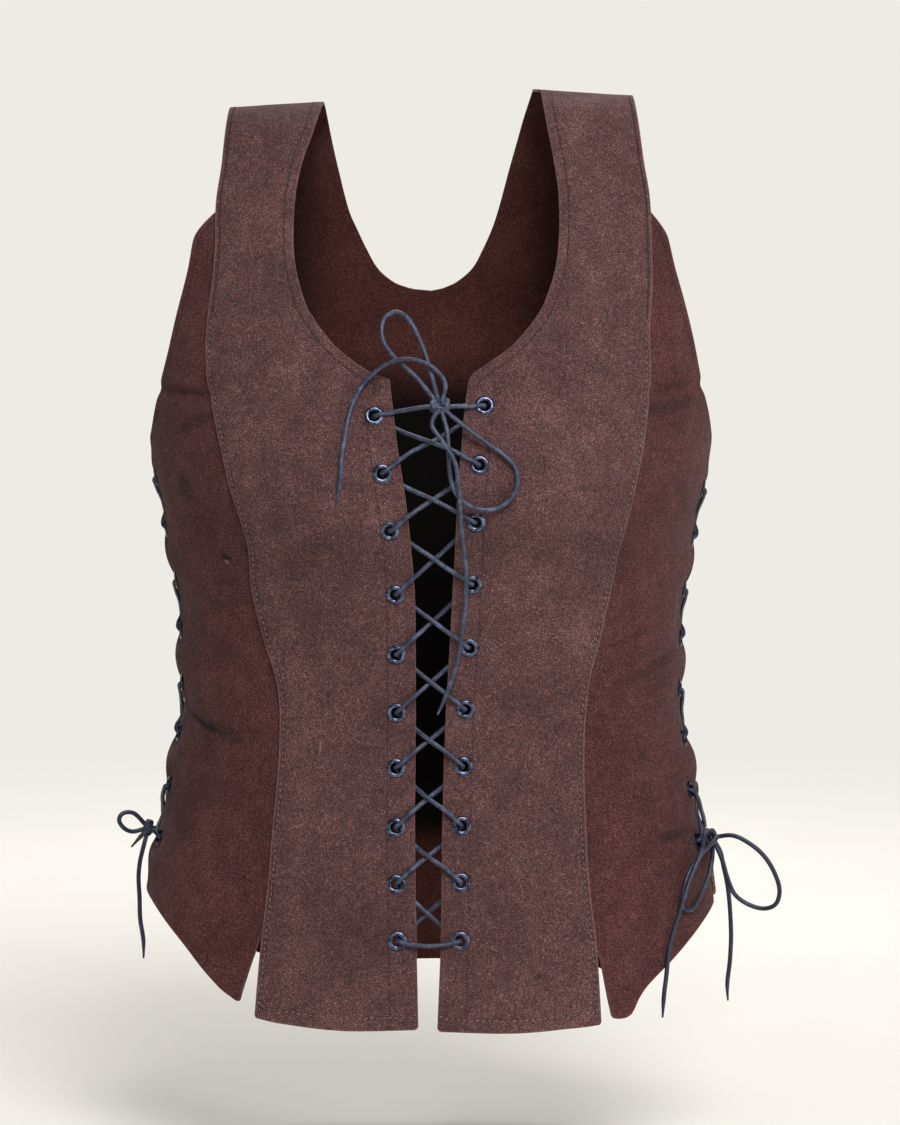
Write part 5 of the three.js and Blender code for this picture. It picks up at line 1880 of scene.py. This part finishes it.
# Each lamp's place, size, setting with its power, share of that power, and what it is aimed at.
LAMPS = {
    "Key light": ((0.55, -2.1, 1.6), 1.4, "key_power", 1.0, MIDDLE),
    "Right fill": ((-2.2, -1.0, 0.2), 1.4, "fill_power", 0.45, MIDDLE),
    "Left fill": ((2.2, -1.0, 0.2), 1.4, "fill_power", 1.8, MIDDLE),
    "Back light": ((0.0, 1.3, 1.6), 1.4, "fill_power", 2.0, MIDDLE),
    "Backdrop light": ((0.0, 1.6, 2.4), 2.4, "backdrop_power", 1.0, BACKDROP_MIDDLE),
    "Front floor light": ((0.0, -3.2, 3.0), 2.4, "backdrop_power", 1.0, FLOOR_AHEAD),
}
FLOOR_FADE = (0.95, 2.3)  # from the centre: where the floor starts to pale, and is all backdrop


def make_floor(name, settings):
    """A pale floor, which the camera sees fade into the backdrop's even colour."""
    material, tree, shader = new_material(name)
    where = object_place(tree)
    cloud = noise(tree, where, 3.0, 3.0)
    pale = color_of(settings.floor_color)
    clouded = color_of(CLOUDS * value for value in settings.floor_color)
    color = blend_colors(tree, in_range(tree, cloud, 0.3, 0.7), clouded, pale)
    plug(tree, shader, color, 0.9, cloud, FLOOR_GRAIN)
    away = add_node(tree, "VectorMath", {0: where}, operation="LENGTH").outputs["Value"]
    seen = add_node(tree, "LightPath").outputs["Is Camera Ray"]
    share = reckon(tree, "MULTIPLY", in_range(tree, away, *FLOOR_FADE), seen)
    glow = add_node(tree, "Emission", {"Color": pale, "Strength": settings.paleness})
    mixed = add_node(tree, "MixShader", {0: share, 1: shader.outputs[0], 2: glow.outputs[0]})
    tree.links.new(mixed.outputs[0], tree.nodes["Material Output"].inputs["Surface"])
    return material


def lay_floor(settings):
    bm = bmesh.new()
    floor, bend, wall = -settings.floor_drop, STAGE["round"], STAGE["flat"] + STAGE["round"]
    profile = [(-STAGE["front"], floor), (STAGE["flat"], floor)]
    profile += [
        (STAGE["flat"] + bend * math.sin(turn), floor + bend * (1 - math.cos(turn)))
        for turn in np.linspace(0, math.pi / 2, CURVE_STEPS + 1)[1:]
    ]
    profile.append((wall, floor + STAGE["high"]))
    verts = [bm.verts.new((-STAGE["aside"], y, z)) for y, z in profile]
    edges = [bm.edges.new(pair) for pair in zip(verts, verts[1:])]
    made = bmesh.ops.extrude_edge_only(bm, edges=edges)
    moved = [part for part in made["geom"] if isinstance(part, bmesh.types.BMVert)]
    bmesh.ops.translate(bm, verts=moved, vec=(2 * STAGE["aside"], 0, 0))
    bmesh.ops.recalc_face_normals(bm, faces=bm.faces)
    bm.faces.ensure_lookup_table()
    if bm.faces[0].normal.z < 0:
        bmesh.ops.reverse_faces(bm, faces=bm.faces)
    mesh = bpy.data.meshes.new("floor")
    bm.to_mesh(mesh)
    bm.free()
    mesh.shade_smooth()
    mesh.materials.append(make_floor("Floor", settings))
    backdrop = bpy.data.objects.new("floor", mesh)
    bpy.context.scene.collection.objects.link(backdrop)
    backdrop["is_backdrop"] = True


def hang_lamps(settings):
    for name, (spot, size, power, share, target) in LAMPS.items():
        lamp = bpy.data.lights.new(name, "AREA")
        lamp.shape = "DISK"
        lamp.size = size
        lamp.energy = share * getattr(settings, power)
        light = bpy.data.objects.new(name, lamp)
        light.visible_camera = False
        light.location = spot
        light.rotation_euler = (Vector(target) - light.location).to_track_quat("-Z", "Y").to_euler()
        bpy.context.scene.collection.objects.link(light)


def light_world(settings):
    """Light from all round, which looks paler to the camera than it shines."""
    world = bpy.data.worlds.new("Studio")
    world.use_nodes = True
    tree = world.node_tree
    background = tree.nodes["Background"]
    seen = add_node(tree, "LightPath").outputs["Is Camera Ray"]
    gain = settings.paleness - settings.world
    strength = reckon(tree, "MULTIPLY_ADD", seen, gain, settings.world)
    feed(tree, background, {"Color": color_of(settings.floor_color), "Strength": strength})
    bpy.context.scene.world = world


class BODICE_OT_stage(bpy.types.Operator):
    """Lay the floor and its curved backdrop, and set the lights"""

    bl_idname = "bodice.stage"
    bl_label = "Stage"

    def execute(self, context):
        settings = context.scene.bodice_stage
        lay_floor(settings)
        hang_lamps(settings)
        light_world(settings)
        context.scene.view_settings.view_transform = "Standard"
        return {"FINISHED"}


class BODICE_PT_bodice(bpy.types.Panel):
    """The bodice's pieces and settings"""

    bl_idname = "BODICE_PT_bodice"
    bl_label = "Bodice"
    bl_space_type = "VIEW_3D"
    bl_region_type = "UI"
    bl_category = "Bodice"

    def draw(self, context):
        for operator in OPERATORS:
            self.layout.operator(operator.bl_idname)
        for kind in SETTINGS:
            settings = getattr(context.scene, kind)
            box = self.layout.box()
            for name in settings.bl_rna.properties.keys():
                if name not in ("rna_type", "name"):
                    box.prop(settings, name)


OPERATORS = (
    BODICE_OT_camera,
    BODICE_OT_bows,
    BODICE_OT_lacings,
    BODICE_OT_panels,
    BODICE_OT_eyelets,
    BODICE_OT_stitching,
    BODICE_OT_stage,
)
SETTINGS = {
    "bodice_leather": BodiceLeather,
    "bodice_trim": BodiceTrim,
    "bodice_stage": BodiceStage,
}
CLASSES = (*SETTINGS.values(), *OPERATORS, BODICE_PT_bodice)


def register():
    for cls in CLASSES:
        bpy.utils.register_class(cls)
    for name, group_class in SETTINGS.items():
        setattr(bpy.types.Scene, name, PointerProperty(type=group_class))


def unregister():
    for name in SETTINGS:
        delattr(bpy.types.Scene, name)
    for cls in reversed(CLASSES):
        bpy.utils.unregister_class(cls)


def main():
    register()
    for operator in OPERATORS:
        module, name = operator.bl_idname.split(".")
        getattr(getattr(bpy.ops, module), name)()
    boxes = {"cad": CAD_BOX, "visual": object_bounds()}
    {name: [list(corner) for corner in box] for name, box in boxes.items()}


if __name__ == "__main__":
    main()
